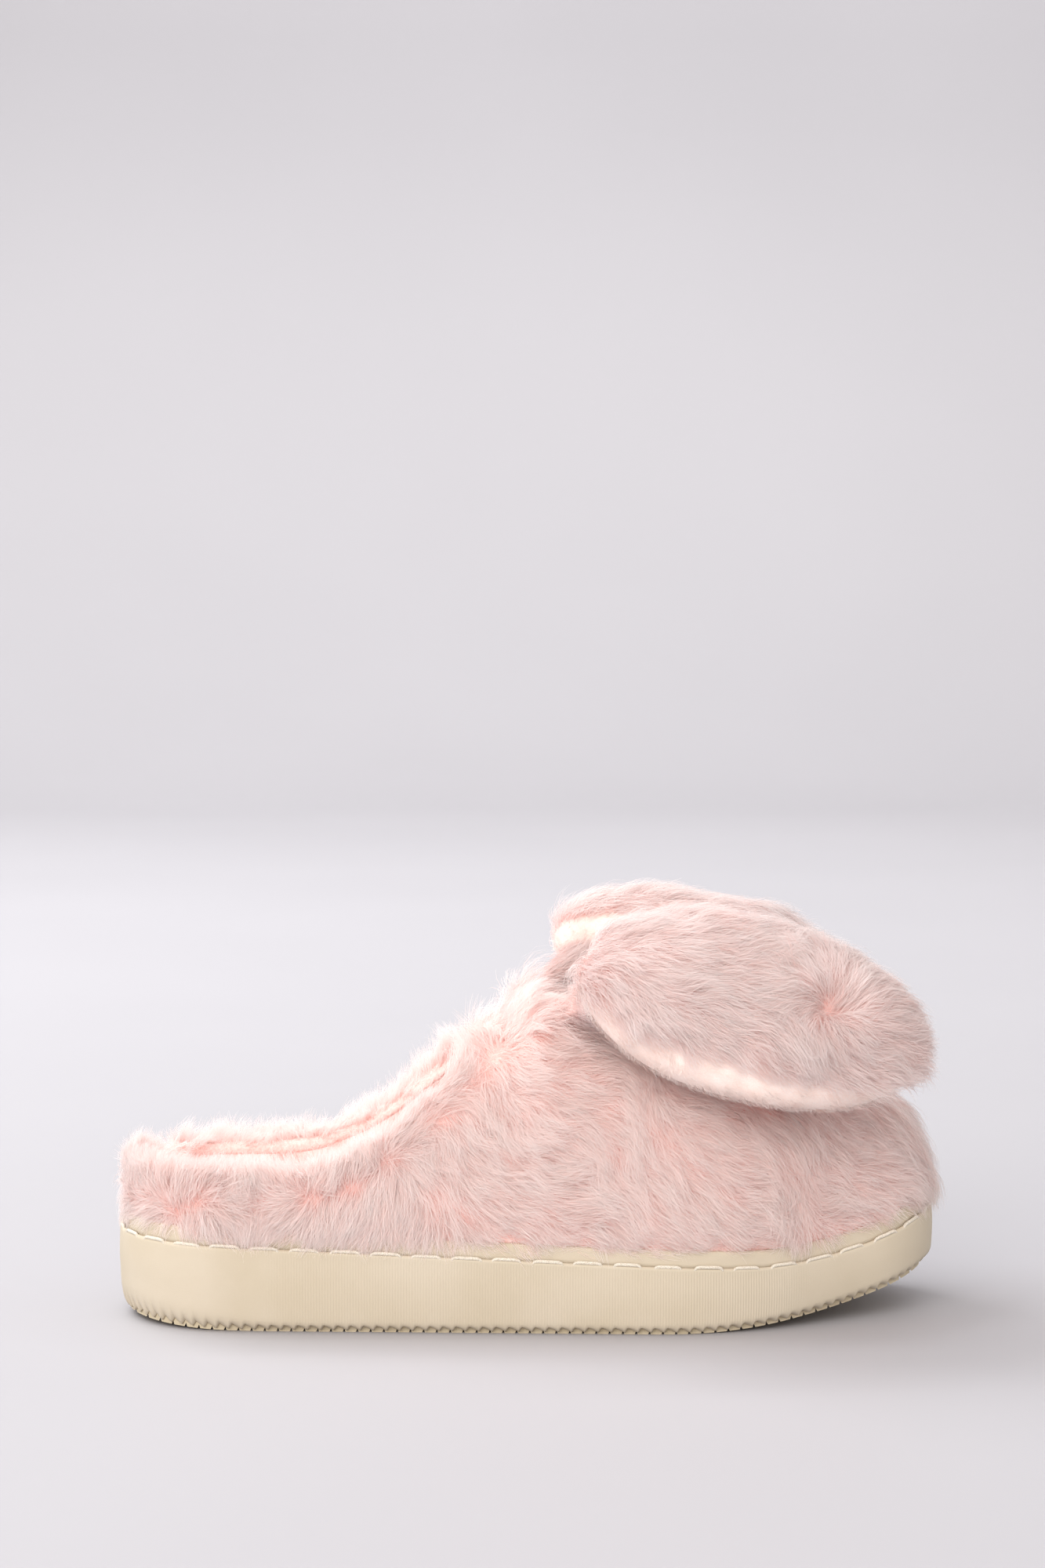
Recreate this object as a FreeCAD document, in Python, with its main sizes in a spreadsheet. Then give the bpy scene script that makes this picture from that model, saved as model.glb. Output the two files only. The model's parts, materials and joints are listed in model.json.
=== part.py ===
"""Fluffy house slipper, right foot: a parametric document of its sewn and moulded pieces.

Frame: millimetres. +X runs from heel to toe, +Y towards the inner side of the foot (medial),
+Z up. The origin lies on the ground plane at mid length, on the line through the heel's centre.
The sole is stacked from layers; the upper is a stack of nested shells; two stuffed ears are
hinged on the vamp, each about its own root seam.
"""
import FreeCAD, Part
import math
import os
import Sketcher
from FreeCAD import Placement, Rotation, Vector

doc = FreeCAD.newDocument("slipper")
sheet = doc.addObject("Spreadsheet::Sheet", "Sizes")

SIZES = [
    # plan outline of the sole
    ("sole_length", 255.0), ("ball_width", 98.0), ("heel_width", 74.0), ("toe_taper", 12.0),
    ("toe_offset", 5.0), ("ball_radius", 88.0), ("ball_lateral_station", 42.0),
    ("ball_medial_station", 56.0),
    # side profile of the sole
    ("toe_spring", 15.5), ("spring_station", 42.0), ("heel_rocker", 2.5),
    ("rocker_station", -80.0), ("seam_heel_height", 27.4), ("seam_ball_height", 19.9),
    ("seam_toe_rise", 16.0), ("seam_toe_station", 62.0),
    # sole layers
    ("tread_thickness", 3.0), ("tread_inset", 3.0), ("tread_pitch", 4.0), ("tread_groove", 1.4),
    ("cup_floor", 2.0), ("wall_thickness", 3.2), ("lip_height", 5.0), ("lip_setback", 1.3),
    ("board_thickness", 1.5), ("footbed_thickness", 5.0), ("sock_thickness", 2.5),
    ("stack_height", 10.5),
    ("stitch_diameter", 1.0), ("stitch_length", 9.5), ("stitch_gap", 2.5),
    # upper
    ("fur_thickness", 6.0), ("foam_thickness", 2.0), ("stiffener", 0.8),
    ("lining_thickness", 1.5), ("binding_height", 3.0),
    ("throat_height", 102.0), ("ball_height", 86.0), ("toe_box_height", 71.0),
    ("toe_tip_height", 46.0), ("throat_station", 0.0), ("toe_box_setback", 29.5),
    ("collar_height", 48.0), ("throat_angle", 45.0), ("throat_curve", 60.0),
    ("side_seam_station", -36.0), ("puff_length", 35.5), ("counter_length", 39.5),
    ("counter_height", 40.0), ("seam_tape_width", 8.0),
    # the upper's cross-sections: how far each stands out past the ball, and its shoulder
    ("rear_rise", 3.0), ("rear_spread", 3.0), ("rear_shoulder", 30.0),
    ("throat_spread", 1.0), ("throat_shoulder", 42.0),
    ("ball_arch_forward", 6.0), ("ball_spread", 1.0), ("ball_shoulder", 41.0),
    ("toe_box_spread", 0.0), ("toe_box_shoulder", 37.0),
    ("toe_tip_spread", -1.0), ("toe_tip_shoulder", 30.0),
    ("nose_reach", 6.0), ("nose_drop", 12.0), ("nose_spread", -2.0), ("nose_shoulder", 24.0),
    # ears
    ("ear_length", 104.0), ("ear_width", 60.0), ("ear_thickness", 33.0), ("ear_skin", 3.0),
    ("ear_lateral_root", 12.0), ("ear_medial_root", 7.0), ("ear_root_side", 22.0),
    ("ear_pitch", 15.0), ("ear_lateral_roll", 48.0), ("ear_medial_roll", 34.0),
    ("ear_lateral_yaw", 4.0), ("ear_medial_yaw", 2.0),
    ("ear_clearance", 2.0), ("ear_neck_width", 8.0), ("ear_neck_length", 10.0),
    ("ear_neck_gap", 1.5), ("tape_gap", 0.2),
    ("tuft_diameter", 1.6), ("tuft_station", 75.0), ("tape_thickness", 1.0),
]
size = {}
for row, (alias, value) in enumerate(SIZES, start=1):
    sheet.set("A%d" % row, alias)
    sheet.set("B%d" % row, "%g" % value)
    sheet.setAlias("B%d" % row, alias)
    size[alias] = value
doc.recompute()

OVERRUN = 14.0     # how far cutting profiles run past the sole's ends
TALL = 170.0       # above everything in the model
WIDE = 260.0       # wider than everything in the model
TOE_RADIUS = "(ball_width / 2 - toe_taper)"
TOE_BOX = "(sole_length / 2 - toe_box_setback)"
PLAN = Placement()
SIDE = Placement(Vector(0, 0, 0), Rotation(Vector(1, 0, 0), 90))
ACROSS = Rotation(Vector(1, 1, 1), 120)    # sketch x to row +Y, sketch y to row +Z


class Profile:
    """A sketch whose numbers are named constraints bound to the sheet."""

    def __init__(self, name, placement):
        self.sketch = doc.addObject("Sketcher::SketchObject", name)
        self.sketch.Placement = placement
        self.serial = 0

    def add(self, geometry):
        return self.sketch.addGeometry(geometry)

    def bind(self, formula, kind, *refs):
        """Adds a dimension whose value is a formula in the sheet's names."""
        self.serial += 1
        name = "size_%d" % self.serial
        value = self.sketch.evalExpression(named(formula))
        index = self.sketch.addConstraint(Sketcher.Constraint(kind, *refs, float(value)))
        self.sketch.renameConstraint(index, name)
        self.sketch.setExpression(".Constraints." + name, named(formula))

    def tie(self, kind, *refs):
        self.sketch.addConstraint(Sketcher.Constraint(kind, *refs))

    def at(self, geometry, point, x_formula, y_formula):
        self.bind(x_formula, "DistanceX", geometry, point)
        self.bind(y_formula, "DistanceY", geometry, point)


def named(formula):
    """Writes the sheet's name in front of each size in a formula."""
    words = []
    word = ""
    for letter in formula + " ":
        if letter.isalnum() or letter == "_":
            word += letter
        else:
            words.append("Sizes." + word if word in size else word)
            words.append(letter)
            word = ""
    return "".join(words).strip()


def number(formula):
    """The value of a formula in the sheet's names."""
    return float(sheet.evalExpression(named(formula)))


def make(kind, name, **links):
    item = doc.addObject(kind, name)
    for key, value in links.items():
        setattr(item, key, value)
    return item


def node(item, label):
    """Names a finished sub-part: its Label names its file."""
    item.Label = label
    nodes.append(item)
    return item


nodes = []


# ---------------------------------------------------------------- plan outline of the sole

def outline(name, inset):
    """Four arcs, heel, ball on each side and toe, joined by their common tangents."""
    profile = Profile(name, PLAN)
    arcs = [
        ("-(sole_length - heel_width) / 2", "0", "heel_width / 2"),
        ("ball_lateral_station", "ball_radius - ball_width / 2", "ball_radius"),
        ("sole_length / 2 - %s" % TOE_RADIUS, "toe_offset", TOE_RADIUS),
        ("ball_medial_station", "ball_width / 2 - ball_radius", "ball_radius"),
    ]
    centres = [Vector(number(x), number(y), 0) for x, y, _ in arcs]
    radii = [number(r) - number(inset) for _, _, r in arcs]
    count = len(arcs)
    leaving = []
    for i in range(count):
        step = centres[(i + 1) % count] - centres[i]
        turn = math.acos((radii[i] - radii[(i + 1) % count]) / step.Length)
        along = math.atan2(step.y, step.x)
        leaving.append(along - turn)
    ids = []
    for i in range(count):
        start = leaving[i - 1]
        end = leaving[i]
        while end < start:
            end += 2 * math.pi
        circle = Part.Circle(centres[i], Vector(0, 0, 1), radii[i])
        ids.append(profile.add(Part.ArcOfCircle(circle, start, end)))
    lines = []
    for i in range(count):
        normal = Vector(math.cos(leaving[i]), math.sin(leaving[i]), 0)
        start = centres[i] + normal * radii[i]
        end = centres[(i + 1) % count] + normal * radii[(i + 1) % count]
        lines.append(profile.add(Part.LineSegment(start, end)))
    for i in range(count):
        profile.tie("Tangent", ids[i], 2, lines[i], 1)
        profile.tie("Tangent", lines[i], 2, ids[(i + 1) % count], 1)
    for i, (x, y, r) in enumerate(arcs):
        profile.at(ids[i], 3, x, y)
        profile.bind("%s - (%s)" % (r, inset), "Radius", ids[i])
    return profile.sketch


def prism(name, inset):
    """The plan outline, moved in by an inset and raised to a tall prism."""
    return make("Part::Extrusion", name, Base=outline(name + "_outline", inset), Solid=True,
                DirMode="Custom", Dir=Vector(0, 0, 1), LengthFwd=TALL, LengthRev=OVERRUN)


# ---------------------------------------------------------------- side profiles

def ground_curve(profile, lift):
    """The sole's underside, heel rocker, flat and toe spring, lifted by a thickness."""
    flat = profile.add(Part.LineSegment(Vector(number("rocker_station"), number(lift), 0),
                                        Vector(number("spring_station"), number(lift), 0)))
    profile.at(flat, 1, "rocker_station", lift)
    profile.at(flat, 2, "spring_station", lift)
    heel_radius = "((sole_length / 2 + rocker_station)^2 + heel_rocker^2) / (2 * heel_rocker)"
    toe_radius = "((sole_length / 2 - spring_station)^2 + toe_spring^2) / (2 * toe_spring)"
    end = number("sole_length / 2") + OVERRUN
    heel = end_arc(profile, flat, 1, -end, heel_radius)
    toe = end_arc(profile, flat, 2, end, toe_radius)
    return (heel, 1), (toe, 2)


def seam_curve(profile, lift):
    """The upper seam line: a slope from heel to ball, then an arc up to the toe."""
    end = number("sole_length / 2") + OVERRUN
    fall = "(seam_heel_height - seam_ball_height) / (sole_length / 2 + seam_toe_station)"
    heel_z = "seam_heel_height + %g * %s + (%s)" % (OVERRUN, fall, lift)
    ball_z = "seam_ball_height + (%s)" % lift
    slope = profile.add(Part.LineSegment(Vector(-end, number(heel_z), 0),
                                         Vector(number("seam_toe_station"), number(ball_z), 0)))
    profile.at(slope, 1, "-sole_length / 2 - %g" % OVERRUN, heel_z)
    profile.at(slope, 2, "seam_toe_station", ball_z)
    radius = ("((sole_length / 2 - seam_toe_station)^2 + seam_toe_rise^2)"
              " / (2 * seam_toe_rise)")
    toe = end_arc(profile, slope, 2, end, radius)
    return (slope, 1), (toe, 2)


def end_arc(profile, line, point, end_x, radius_formula):
    """An arc that leaves a line's end tangentially, curving up, and stops past the sole."""
    radius = number(radius_formula)
    geometry = profile.sketch.Geometry[line]
    start, far = geometry.StartPoint, geometry.EndPoint
    direction = (far - start).normalize()
    corner = far if point == 2 else start
    centre = corner + Vector(-direction.y, direction.x, 0) * radius
    reach = math.asin((end_x - centre.x) / radius)
    here = math.atan2(corner.y - centre.y, corner.x - centre.x)
    there = reach - math.pi / 2
    circle = Part.Circle(centre, Vector(0, 0, 1), radius)
    arc = profile.add(Part.ArcOfCircle(circle, min(here, there), max(here, there)))
    near_end, far_end = (1, 2) if point == 2 else (2, 1)
    if point == 2:
        profile.tie("Tangent", line, 2, arc, near_end)
    else:
        profile.tie("Tangent", arc, near_end, line, 1)
    profile.bind(radius_formula, "Radius", arc)
    sign = "" if end_x > 0 else "-"
    formula = "%s(sole_length / 2 + %g)" % (sign, OVERRUN)
    profile.bind(formula, "DistanceX", arc, far_end)
    return arc


def point_of(profile, ref):
    return profile.sketch.getPoint(*ref)


def close(profile, first, second):
    """A line between two loose ends."""
    line = profile.add(Part.LineSegment(point_of(profile, first), point_of(profile, second)))
    profile.tie("Coincident", line, 1, *first)
    profile.tie("Coincident", line, 2, *second)
    return line


def across(name, profile):
    """Extrudes a side profile right across the slipper."""
    return make("Part::Extrusion", name, Base=profile.sketch, Solid=True, DirMode="Custom",
                Dir=Vector(0, 1, 0), LengthFwd=WIDE, Symmetric=True)


def slab(name, low, low_lift, high, high_lift):
    """What lies between two lifted curves."""
    profile = Profile(name + "_profile", SIDE)
    low_heel, low_toe = low(profile, low_lift)
    high_heel, high_toe = high(profile, high_lift)
    close(profile, low_toe, high_toe)
    close(profile, high_heel, low_heel)
    return across(name, profile)


def ceiling(profile, lift):
    """A level line high above everything."""
    end = number("sole_length / 2") + OVERRUN
    line = profile.add(Part.LineSegment(Vector(-end, TALL, 0), Vector(end, TALL, 0)))
    profile.at(line, 1, "-sole_length / 2 - %g" % OVERRUN, "%g + %s" % (TALL, lift))
    profile.at(line, 2, "sole_length / 2 + %g" % OVERRUN, "%g + %s" % (TALL, lift))
    return (line, 1), (line, 2)


def common(name, first, second):
    return make("Part::Common", name, Base=first, Tool=second)


def cut(name, base, tool):
    return make("Part::Cut", name, Base=base, Tool=tool)


# ---------------------------------------------------------------- sole

wall_prism = prism("wall_prism", "0")
cup_prism = prism("cup_prism", "wall_thickness")
lip_prism = prism("lip_prism", "lip_setback")
tread_prism = prism("tread_prism", "tread_inset")

BASE = "-stack_height"
BOARD = "board_thickness - stack_height"
FOOTBED = "board_thickness + footbed_thickness - stack_height"
SOCK = "board_thickness + footbed_thickness + sock_thickness - stack_height"
CUP_FLOOR = "tread_thickness + cup_floor"

tread_slab = slab("tread_slab", ground_curve, "0", ground_curve, "tread_thickness")
tread_blank = common("tread_blank", tread_prism, tread_slab)


def ground_height(x):
    """Height of the ground curve at a station, with its slope."""
    rise = 0.0
    slope = 0.0
    for station, lift, way in (("spring_station", "toe_spring", 1),
                               ("rocker_station", "heel_rocker", -1)):
        run = way * (x - number(station))
        reach = number("sole_length / 2") - way * number(station)
        radius = (reach ** 2 + number(lift) ** 2) / (2 * number(lift))
        if run > 0:
            rise = radius - math.sqrt(radius ** 2 - run ** 2)
            slope = way * run / math.sqrt(radius ** 2 - run ** 2)
    return rise, slope


def tread_grooves():
    """V grooves right across the tread, square to its underside."""
    pitch = number("tread_pitch")
    half = number("tread_groove") / 2
    reach = number("sole_length / 2")
    grooves = []
    count = int(2 * reach / pitch)
    for i in range(-count // 2, count // 2 + 1):
        x = (i + 0.5) * pitch
        if abs(x) > reach - number("tread_inset"):
            continue
        z, slope = ground_height(x)
        corners = [Vector(-half, 0, -half), Vector(half, 0, -half), Vector(0, 0, half * 1.6)]
        face = Part.Face(Part.makePolygon(corners + corners[:1]))
        groove = face.extrude(Vector(0, WIDE, 0))
        turn = Rotation(Vector(0, 1, 0), -math.degrees(math.atan(slope)))
        groove.Placement = Placement(Vector(x, -WIDE / 2, z), turn)
        grooves.append(groove)
    return Part.makeCompound(grooves)


groove_set = doc.addObject("Part::Feature", "groove_set")
groove_set.Shape = tread_grooves()
node(cut("tread", tread_blank, groove_set), "outsole_tread")

cup_slab = slab("cup_slab", ground_curve, "tread_thickness", seam_curve, "0")
cup_blank = common("cup_blank", wall_prism, cup_slab)
cup_space = slab("cup_space", ground_curve, CUP_FLOOR, ceiling, "0")
cup_pocket = common("cup_pocket", cup_prism, cup_space)
node(cut("cup", cup_blank, cup_pocket), "cupsole")

lip_slab = slab("lip_slab", seam_curve, "0", seam_curve, "lip_height")
lip_ring = cut("lip_ring", lip_prism, cup_prism)
node(common("lip", lip_ring, lip_slab), "sidewall_lip")

midsole_slab = slab("midsole_slab", ground_curve, CUP_FLOOR, seam_curve, BASE)
node(common("midsole", cup_prism, midsole_slab), "midsole_foam")

board_slab = slab("board_slab", seam_curve, BASE, seam_curve, BOARD)
node(common("board", cup_prism, board_slab), "insole_board")

UPPER = "fur_thickness + foam_thickness + lining_thickness"
foot_prism = prism("foot_prism", UPPER)
footbed_slab = slab("footbed_slab", seam_curve, BOARD, seam_curve, FOOTBED)
node(common("footbed", foot_prism, footbed_slab), "footbed_foam")
sock_slab = slab("sock_slab", seam_curve, FOOTBED, seam_curve, SOCK)
node(common("sock", foot_prism, sock_slab), "footbed_sock")


def seam_height(x):
    """Height of the seam line at a station."""
    station = number("seam_toe_station")
    fall = number("seam_heel_height - seam_ball_height") / (number("sole_length / 2") + station)
    if x <= station:
        return number("seam_ball_height") + fall * (station - x)
    reach = number("sole_length / 2") - station
    radius = (reach ** 2 + number("seam_toe_rise") ** 2) / (2 * number("seam_toe_rise"))
    tilt = math.atan(fall)
    centre_x = station + radius * math.sin(tilt)
    centre_z = number("seam_ball_height") + radius * math.cos(tilt)
    return centre_z - math.sqrt(radius ** 2 - (x - centre_x) ** 2)


def sidewall_stitches():
    """One row of thread stitches, lying on the ledge between the wall and the lip."""
    radius = number("stitch_diameter") / 2
    line = outline("stitch_line", "stitch_diameter / 2 + 0.1")
    doc.recompute()
    wire = line.Shape.Wires[0]
    step = number("stitch_length + stitch_gap")
    count = int(wire.Length / step)
    places = wire.discretize(Number=2 * count + 1)
    stitches = []
    for i in range(count):
        ends = []
        for place in (places[2 * i], places[2 * i + 1]):
            ends.append(Vector(place.x, place.y, seam_height(place.x) + radius * 0.6))
        run = ends[1] - ends[0]
        middle = (ends[0] + ends[1]) / 2
        run.multiply(number("stitch_length") / run.Length)
        start = middle - run / 2
        stitches.append(Part.makeCylinder(radius, run.Length, start, run))
    return Part.makeCompound(stitches)


stitches = doc.addObject("Part::Feature", "stitches")
stitches.Shape = sidewall_stitches()
node(stitches, "sidewall_stitches")


# ---------------------------------------------------------------- upper

TUNNEL = [
    # station, height, spread beyond half the ball width, shoulder radius
    ("-sole_length / 2 - %g" % OVERRUN, "throat_height + rear_rise", "rear_spread", "rear_shoulder"),
    ("throat_station", "throat_height", "throat_spread", "throat_shoulder"),
    ("(throat_station + %s) / 2 + ball_arch_forward" % TOE_BOX, "ball_height", "ball_spread",
     "ball_shoulder"),
    (TOE_BOX, "toe_box_height", "toe_box_spread", "toe_box_shoulder"),
    ("sole_length / 2", "toe_tip_height", "toe_tip_spread", "toe_tip_shoulder"),
    ("sole_length / 2 + nose_reach", "toe_tip_height - nose_drop", "nose_spread",
     "nose_shoulder"),
]


def arch(name, station, height, spread, radius, inset):
    """One cross-section of the upper: straight sides, round shoulders and a level top."""
    profile = Profile(name, Placement(Vector(number(station), 0, 0), ACROSS))
    profile.sketch.setExpression("Placement.Base.x", named(station))
    wide = "ball_width / 2 + %s - (%s)" % (spread, inset)
    tall = "%s - (%s)" % (height, inset)
    bend = "%s - (%s)" % (radius, inset)
    w, top, r = number(wide), number(tall), number(bend)
    floor = profile.add(Part.LineSegment(Vector(-w, 0, 0), Vector(w, 0, 0)))
    right = profile.add(Part.LineSegment(Vector(w, 0, 0), Vector(w, top - r, 0)))
    circle = Part.Circle(Vector(w - r, top - r, 0), Vector(0, 0, 1), r)
    right_arc = profile.add(Part.ArcOfCircle(circle, 0, math.pi / 2))
    crown = profile.add(Part.LineSegment(Vector(w - r, top, 0), Vector(r - w, top, 0)))
    circle = Part.Circle(Vector(r - w, top - r, 0), Vector(0, 0, 1), r)
    left_arc = profile.add(Part.ArcOfCircle(circle, math.pi / 2, math.pi))
    left = profile.add(Part.LineSegment(Vector(-w, top - r, 0), Vector(-w, 0, 0)))
    profile.tie("Coincident", floor, 2, right, 1)
    profile.tie("Coincident", left, 2, floor, 1)
    profile.tie("Tangent", right, 2, right_arc, 1)
    profile.tie("Tangent", right_arc, 2, crown, 1)
    profile.tie("Tangent", crown, 2, left_arc, 1)
    profile.tie("Tangent", left_arc, 2, left, 1)
    profile.at(floor, 1, "-(%s)" % wide, "0")
    profile.at(floor, 2, wide, "0")
    profile.tie("Vertical", right)
    profile.tie("Horizontal", crown)
    profile.bind(tall, "DistanceY", crown, 1)
    profile.bind(bend, "Radius", right_arc)
    profile.bind(bend, "Radius", left_arc)
    return profile.sketch


def form(name, inset):
    """The closed form of the upper at one depth below its fur."""
    sections = []
    for i, (station, height, spread, radius) in enumerate(TUNNEL):
        sections.append(arch("%s_arch_%d" % (name, i), station, height, spread, radius, inset))
    tunnel = make("Part::Loft", name + "_tunnel", Sections=sections, Solid=True, Ruled=False)
    return common(name, prism(name + "_prism", inset), tunnel)


def opening_region(name, drop):
    """What lies under the topline: low round the heel, then curving up to the throat."""
    profile = Profile(name + "_profile", SIDE)
    low_heel, low_toe = seam_curve(profile, BOARD)
    end = number("sole_length / 2") + OVERRUN
    rim = number("collar_height - %s" % drop)
    angle = math.radians(number("throat_angle"))
    curve = number("throat_curve")
    top_x = ("throat_station + (%g - throat_height + %s) / tan(throat_angle)" % (TALL, drop))
    bend_x = number(top_x) - (TALL - rim - curve * (1 - math.cos(angle))) / math.tan(angle)
    bend_x -= curve * math.sin(angle)
    level = profile.add(Part.LineSegment(Vector(-end, rim, 0), Vector(bend_x, rim, 0)))
    circle = Part.Circle(Vector(bend_x, rim + curve, 0), Vector(0, 0, 1), curve)
    bend = profile.add(Part.ArcOfCircle(circle, -math.pi / 2, angle - math.pi / 2))
    lift = Vector(bend_x + curve * math.sin(angle), rim + curve * (1 - math.cos(angle)), 0)
    climb = profile.add(Part.LineSegment(lift, Vector(number(top_x), TALL, 0)))
    roof = profile.add(Part.LineSegment(Vector(number(top_x), TALL, 0), Vector(end, TALL, 0)))
    profile.tie("Tangent", level, 2, bend, 1)
    profile.tie("Tangent", bend, 2, climb, 1)
    profile.tie("Coincident", climb, 2, roof, 1)
    profile.at(level, 1, "-sole_length / 2 - %g" % OVERRUN, "collar_height - %s" % drop)
    profile.tie("Horizontal", level)
    profile.bind("throat_curve", "Radius", bend)
    profile.at(roof, 1, top_x, "%g" % TALL)
    profile.at(roof, 2, "sole_length / 2 + %g" % OVERRUN, "%g" % TALL)
    angle_text = "throat_angle * 1 deg"
    profile.serial += 1
    index = profile.sketch.addConstraint(Sketcher.Constraint("Angle", climb, angle))
    profile.sketch.renameConstraint(index, "climb_angle")
    profile.sketch.setExpression(".Constraints.climb_angle", named(angle_text))
    close(profile, low_toe, (roof, 2))
    close(profile, (level, 1), low_heel)
    return across(name, profile)


def zone(name, x_low, x_high, z_high="%g" % TALL):
    """A block between two stations, as wide as needed, up to a height."""
    block = doc.addObject("Part::Box", name)
    block.setExpression("Length", named("(%s) - (%s)" % (x_high, x_low)))
    block.Width = WIDE
    block.setExpression("Height", named(z_high))
    block.setExpression("Placement.Base.x", named(x_low))
    block.Placement.Base.y = -WIDE / 2
    return block


HEEL_END = "-sole_length / 2 - %g" % OVERRUN
TOE_END = "sole_length / 2 + %g" % OVERRUN

fur_out = form("fur_out", "0")
fur_in = form("fur_in", "fur_thickness")
stiff_out = form("stiff_out", "fur_thickness + foam_thickness - stiffener")
foam_in = form("foam_in", "fur_thickness + foam_thickness")
lining_in = form("lining_in", UPPER)

under_topline = opening_region("under_topline", "0")
under_binding = opening_region("under_binding", "binding_height")

front = zone("front", "side_seam_station", TOE_END)
back = zone("back", HEEL_END, "side_seam_station")

below_lip = slab("below_lip", ground_curve, "-%g" % OVERRUN, seam_curve, "lip_height")
outside_ring = cut("outside_ring", below_lip, cup_prism)

fur_shell = cut("fur_shell", common("fur_body", fur_out, under_topline), fur_in)
fur_seated = cut("fur_seated", fur_shell, outside_ring)
node(common("vamp_fur_panel", fur_seated, front), "vamp_fur")
node(common("collar_fur_panel", fur_seated, back), "collar_fur")

# stiffeners sit in the inner face of the foam
stiff_shell = cut("stiff_shell", common("stiff_body", stiff_out, under_binding), foam_in)
puff_zone = zone("puff_zone", "sole_length / 2 - puff_length", TOE_END)
counter_zone = zone("counter_zone", HEEL_END, "counter_length - sole_length / 2",
                    "counter_height")
tape_zone = zone("tape_zone", "side_seam_station - seam_tape_width / 2",
                 "side_seam_station + seam_tape_width / 2")
toe_puff = node(common("puff", stiff_shell, puff_zone), "toe_puff")
heel_counter = node(common("counter", stiff_shell, counter_zone), "heel_counter")
seam_tapes = node(common("tapes", stiff_shell, tape_zone), "side_seam_tapes")

foam_shell = cut("foam_shell", common("foam_body", fur_in, under_binding), foam_in)
stiffeners = make("Part::MultiFuse", "stiffeners", Shapes=[toe_puff, heel_counter, seam_tapes])
foam_pocketed = cut("foam_pocketed", foam_shell, stiffeners)
node(common("vamp_foam_panel", foam_pocketed, front), "vamp_foam")
node(common("collar_foam_panel", foam_pocketed, back), "collar_foam")

lining_shell = cut("lining_shell", common("lining_body", foam_in, under_binding), lining_in)
node(common("vamp_lining_panel", lining_shell, front), "vamp_lining")
node(common("collar_lining_panel", lining_shell, back), "collar_lining")

rim_shell = cut("rim_shell", common("rim_body", fur_in, under_topline), lining_in)
node(cut("rim", rim_shell, under_binding), "topline_binding")


# ---------------------------------------------------------------- ears

def ear(side, root_station, roll, yaw):
    """A stuffed ear, built about its root seam and laid on one shoulder of the vamp.

    side is -1 on the outer side of the foot and +1 on the inner side. In the ear's own frame
    x runs to its tip, z away from the vamp, and the root seam is the y axis.
    """
    word = "lateral" if side < 0 else "medial"
    half = "ear_length / 2"
    drop = "ear_thickness / 2 + ear_clearance"
    shoulder = "(ball_width / 2 + throat_spread - throat_shoulder)"
    run = "((%s - throat_station) / 2 + ball_arch_forward)" % TOE_BOX
    slope = "(throat_height - ball_height) / " + run
    past = "(ear_root_side - %s)" % shoulder
    height = ("throat_height - %s * (%s - throat_station) - throat_shoulder"
              " + sqrt(throat_shoulder^2 - %s^2) + ear_clearance" % (slope, root_station, past))
    rotation = "rotation(%d * %s; ear_pitch; %d * %s)" % (side, yaw, -side, roll)
    base = "vector(%s; %d * ear_root_side; %s)" % (root_station, side, height)
    place = named("placement(%s; %s)" % (base, rotation))

    def ellipsoid(name, shrink):
        item = doc.addObject("Part::Ellipsoid", name)
        item.setExpression("Radius1", named("ear_thickness / 2 - %s" % shrink))
        item.setExpression("Radius2", named("ear_length / 2 - %s" % shrink))
        item.setExpression("Radius3", named("ear_width / 2 - %s" % shrink))
        item.setExpression("Placement.Base.x", named(half))
        item.setExpression("Placement.Base.z", named(drop))
        return item

    def block(name, x, y, z, length, width, height):
        item = doc.addObject("Part::Box", name)
        for key, formula in (("Length", length), ("Width", width), ("Height", height),
                             ("Placement.Base.x", x), ("Placement.Base.y", y),
                             ("Placement.Base.z", z)):
            item.setExpression(key, named(formula))
        return item

    def placed(item, label):
        item.setExpression("Placement", place)
        return node(item, label)

    skin = ellipsoid(word + "_skin", "0")
    core = ellipsoid(word + "_core", "ear_skin")
    thread = doc.addObject("Part::Cylinder", word + "_thread")
    thread.setExpression("Radius", named("tuft_diameter / 2"))
    thread.setExpression("Height", named("ear_thickness * 2"))
    thread.setExpression("Placement.Base.x", named("tuft_station"))
    thread.setExpression("Placement.Base.z", named("%s - ear_thickness" % drop))
    upper = block(word + "_upper", "-10", "-%g" % WIDE, drop, "ear_length + 20",
                  "%g" % (2 * WIDE), "ear_thickness")
    shell = cut(word + "_shell", cut(word + "_hollow", skin, core), thread)
    placed(common(word + "_fur_half", shell, upper), "ear_%s_fur" % word)
    placed(cut(word + "_velour_half", shell, upper), "ear_%s_velour" % word)
    filling = make("Part::Compound", word + "_stuffing", Links=[core])
    placed(filling, "ear_%s_stuffing" % word)
    placed(common(word + "_tuft", skin, thread), "ear_%s_tuft_thread" % word)
    stub = block(word + "_stub", "0", "-ear_neck_width / 2", "ear_neck_gap",
                 "ear_neck_length", "ear_neck_width", "ear_thickness / 2")
    neck = cut(word + "_neck", stub, skin)
    placed(neck, "ear_%s_neck" % word)
    tape = block(word + "_tape", "-ear_neck_length / 2", "-ear_neck_width / 2",
                 "-tape_thickness - ear_clearance + tape_gap", "ear_neck_length",
                 "ear_neck_width", "tape_thickness")
    wrap = make("Part::Compound", word + "_root_tape", Links=[tape])
    placed(wrap, "ear_%s_root_tape" % word)


ear(-1, "ear_lateral_root", "ear_lateral_roll", "ear_lateral_yaw")
ear(1, "ear_medial_root", "ear_medial_roll", "ear_medial_yaw")


# ---------------------------------------------------------------- checks and files

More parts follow.
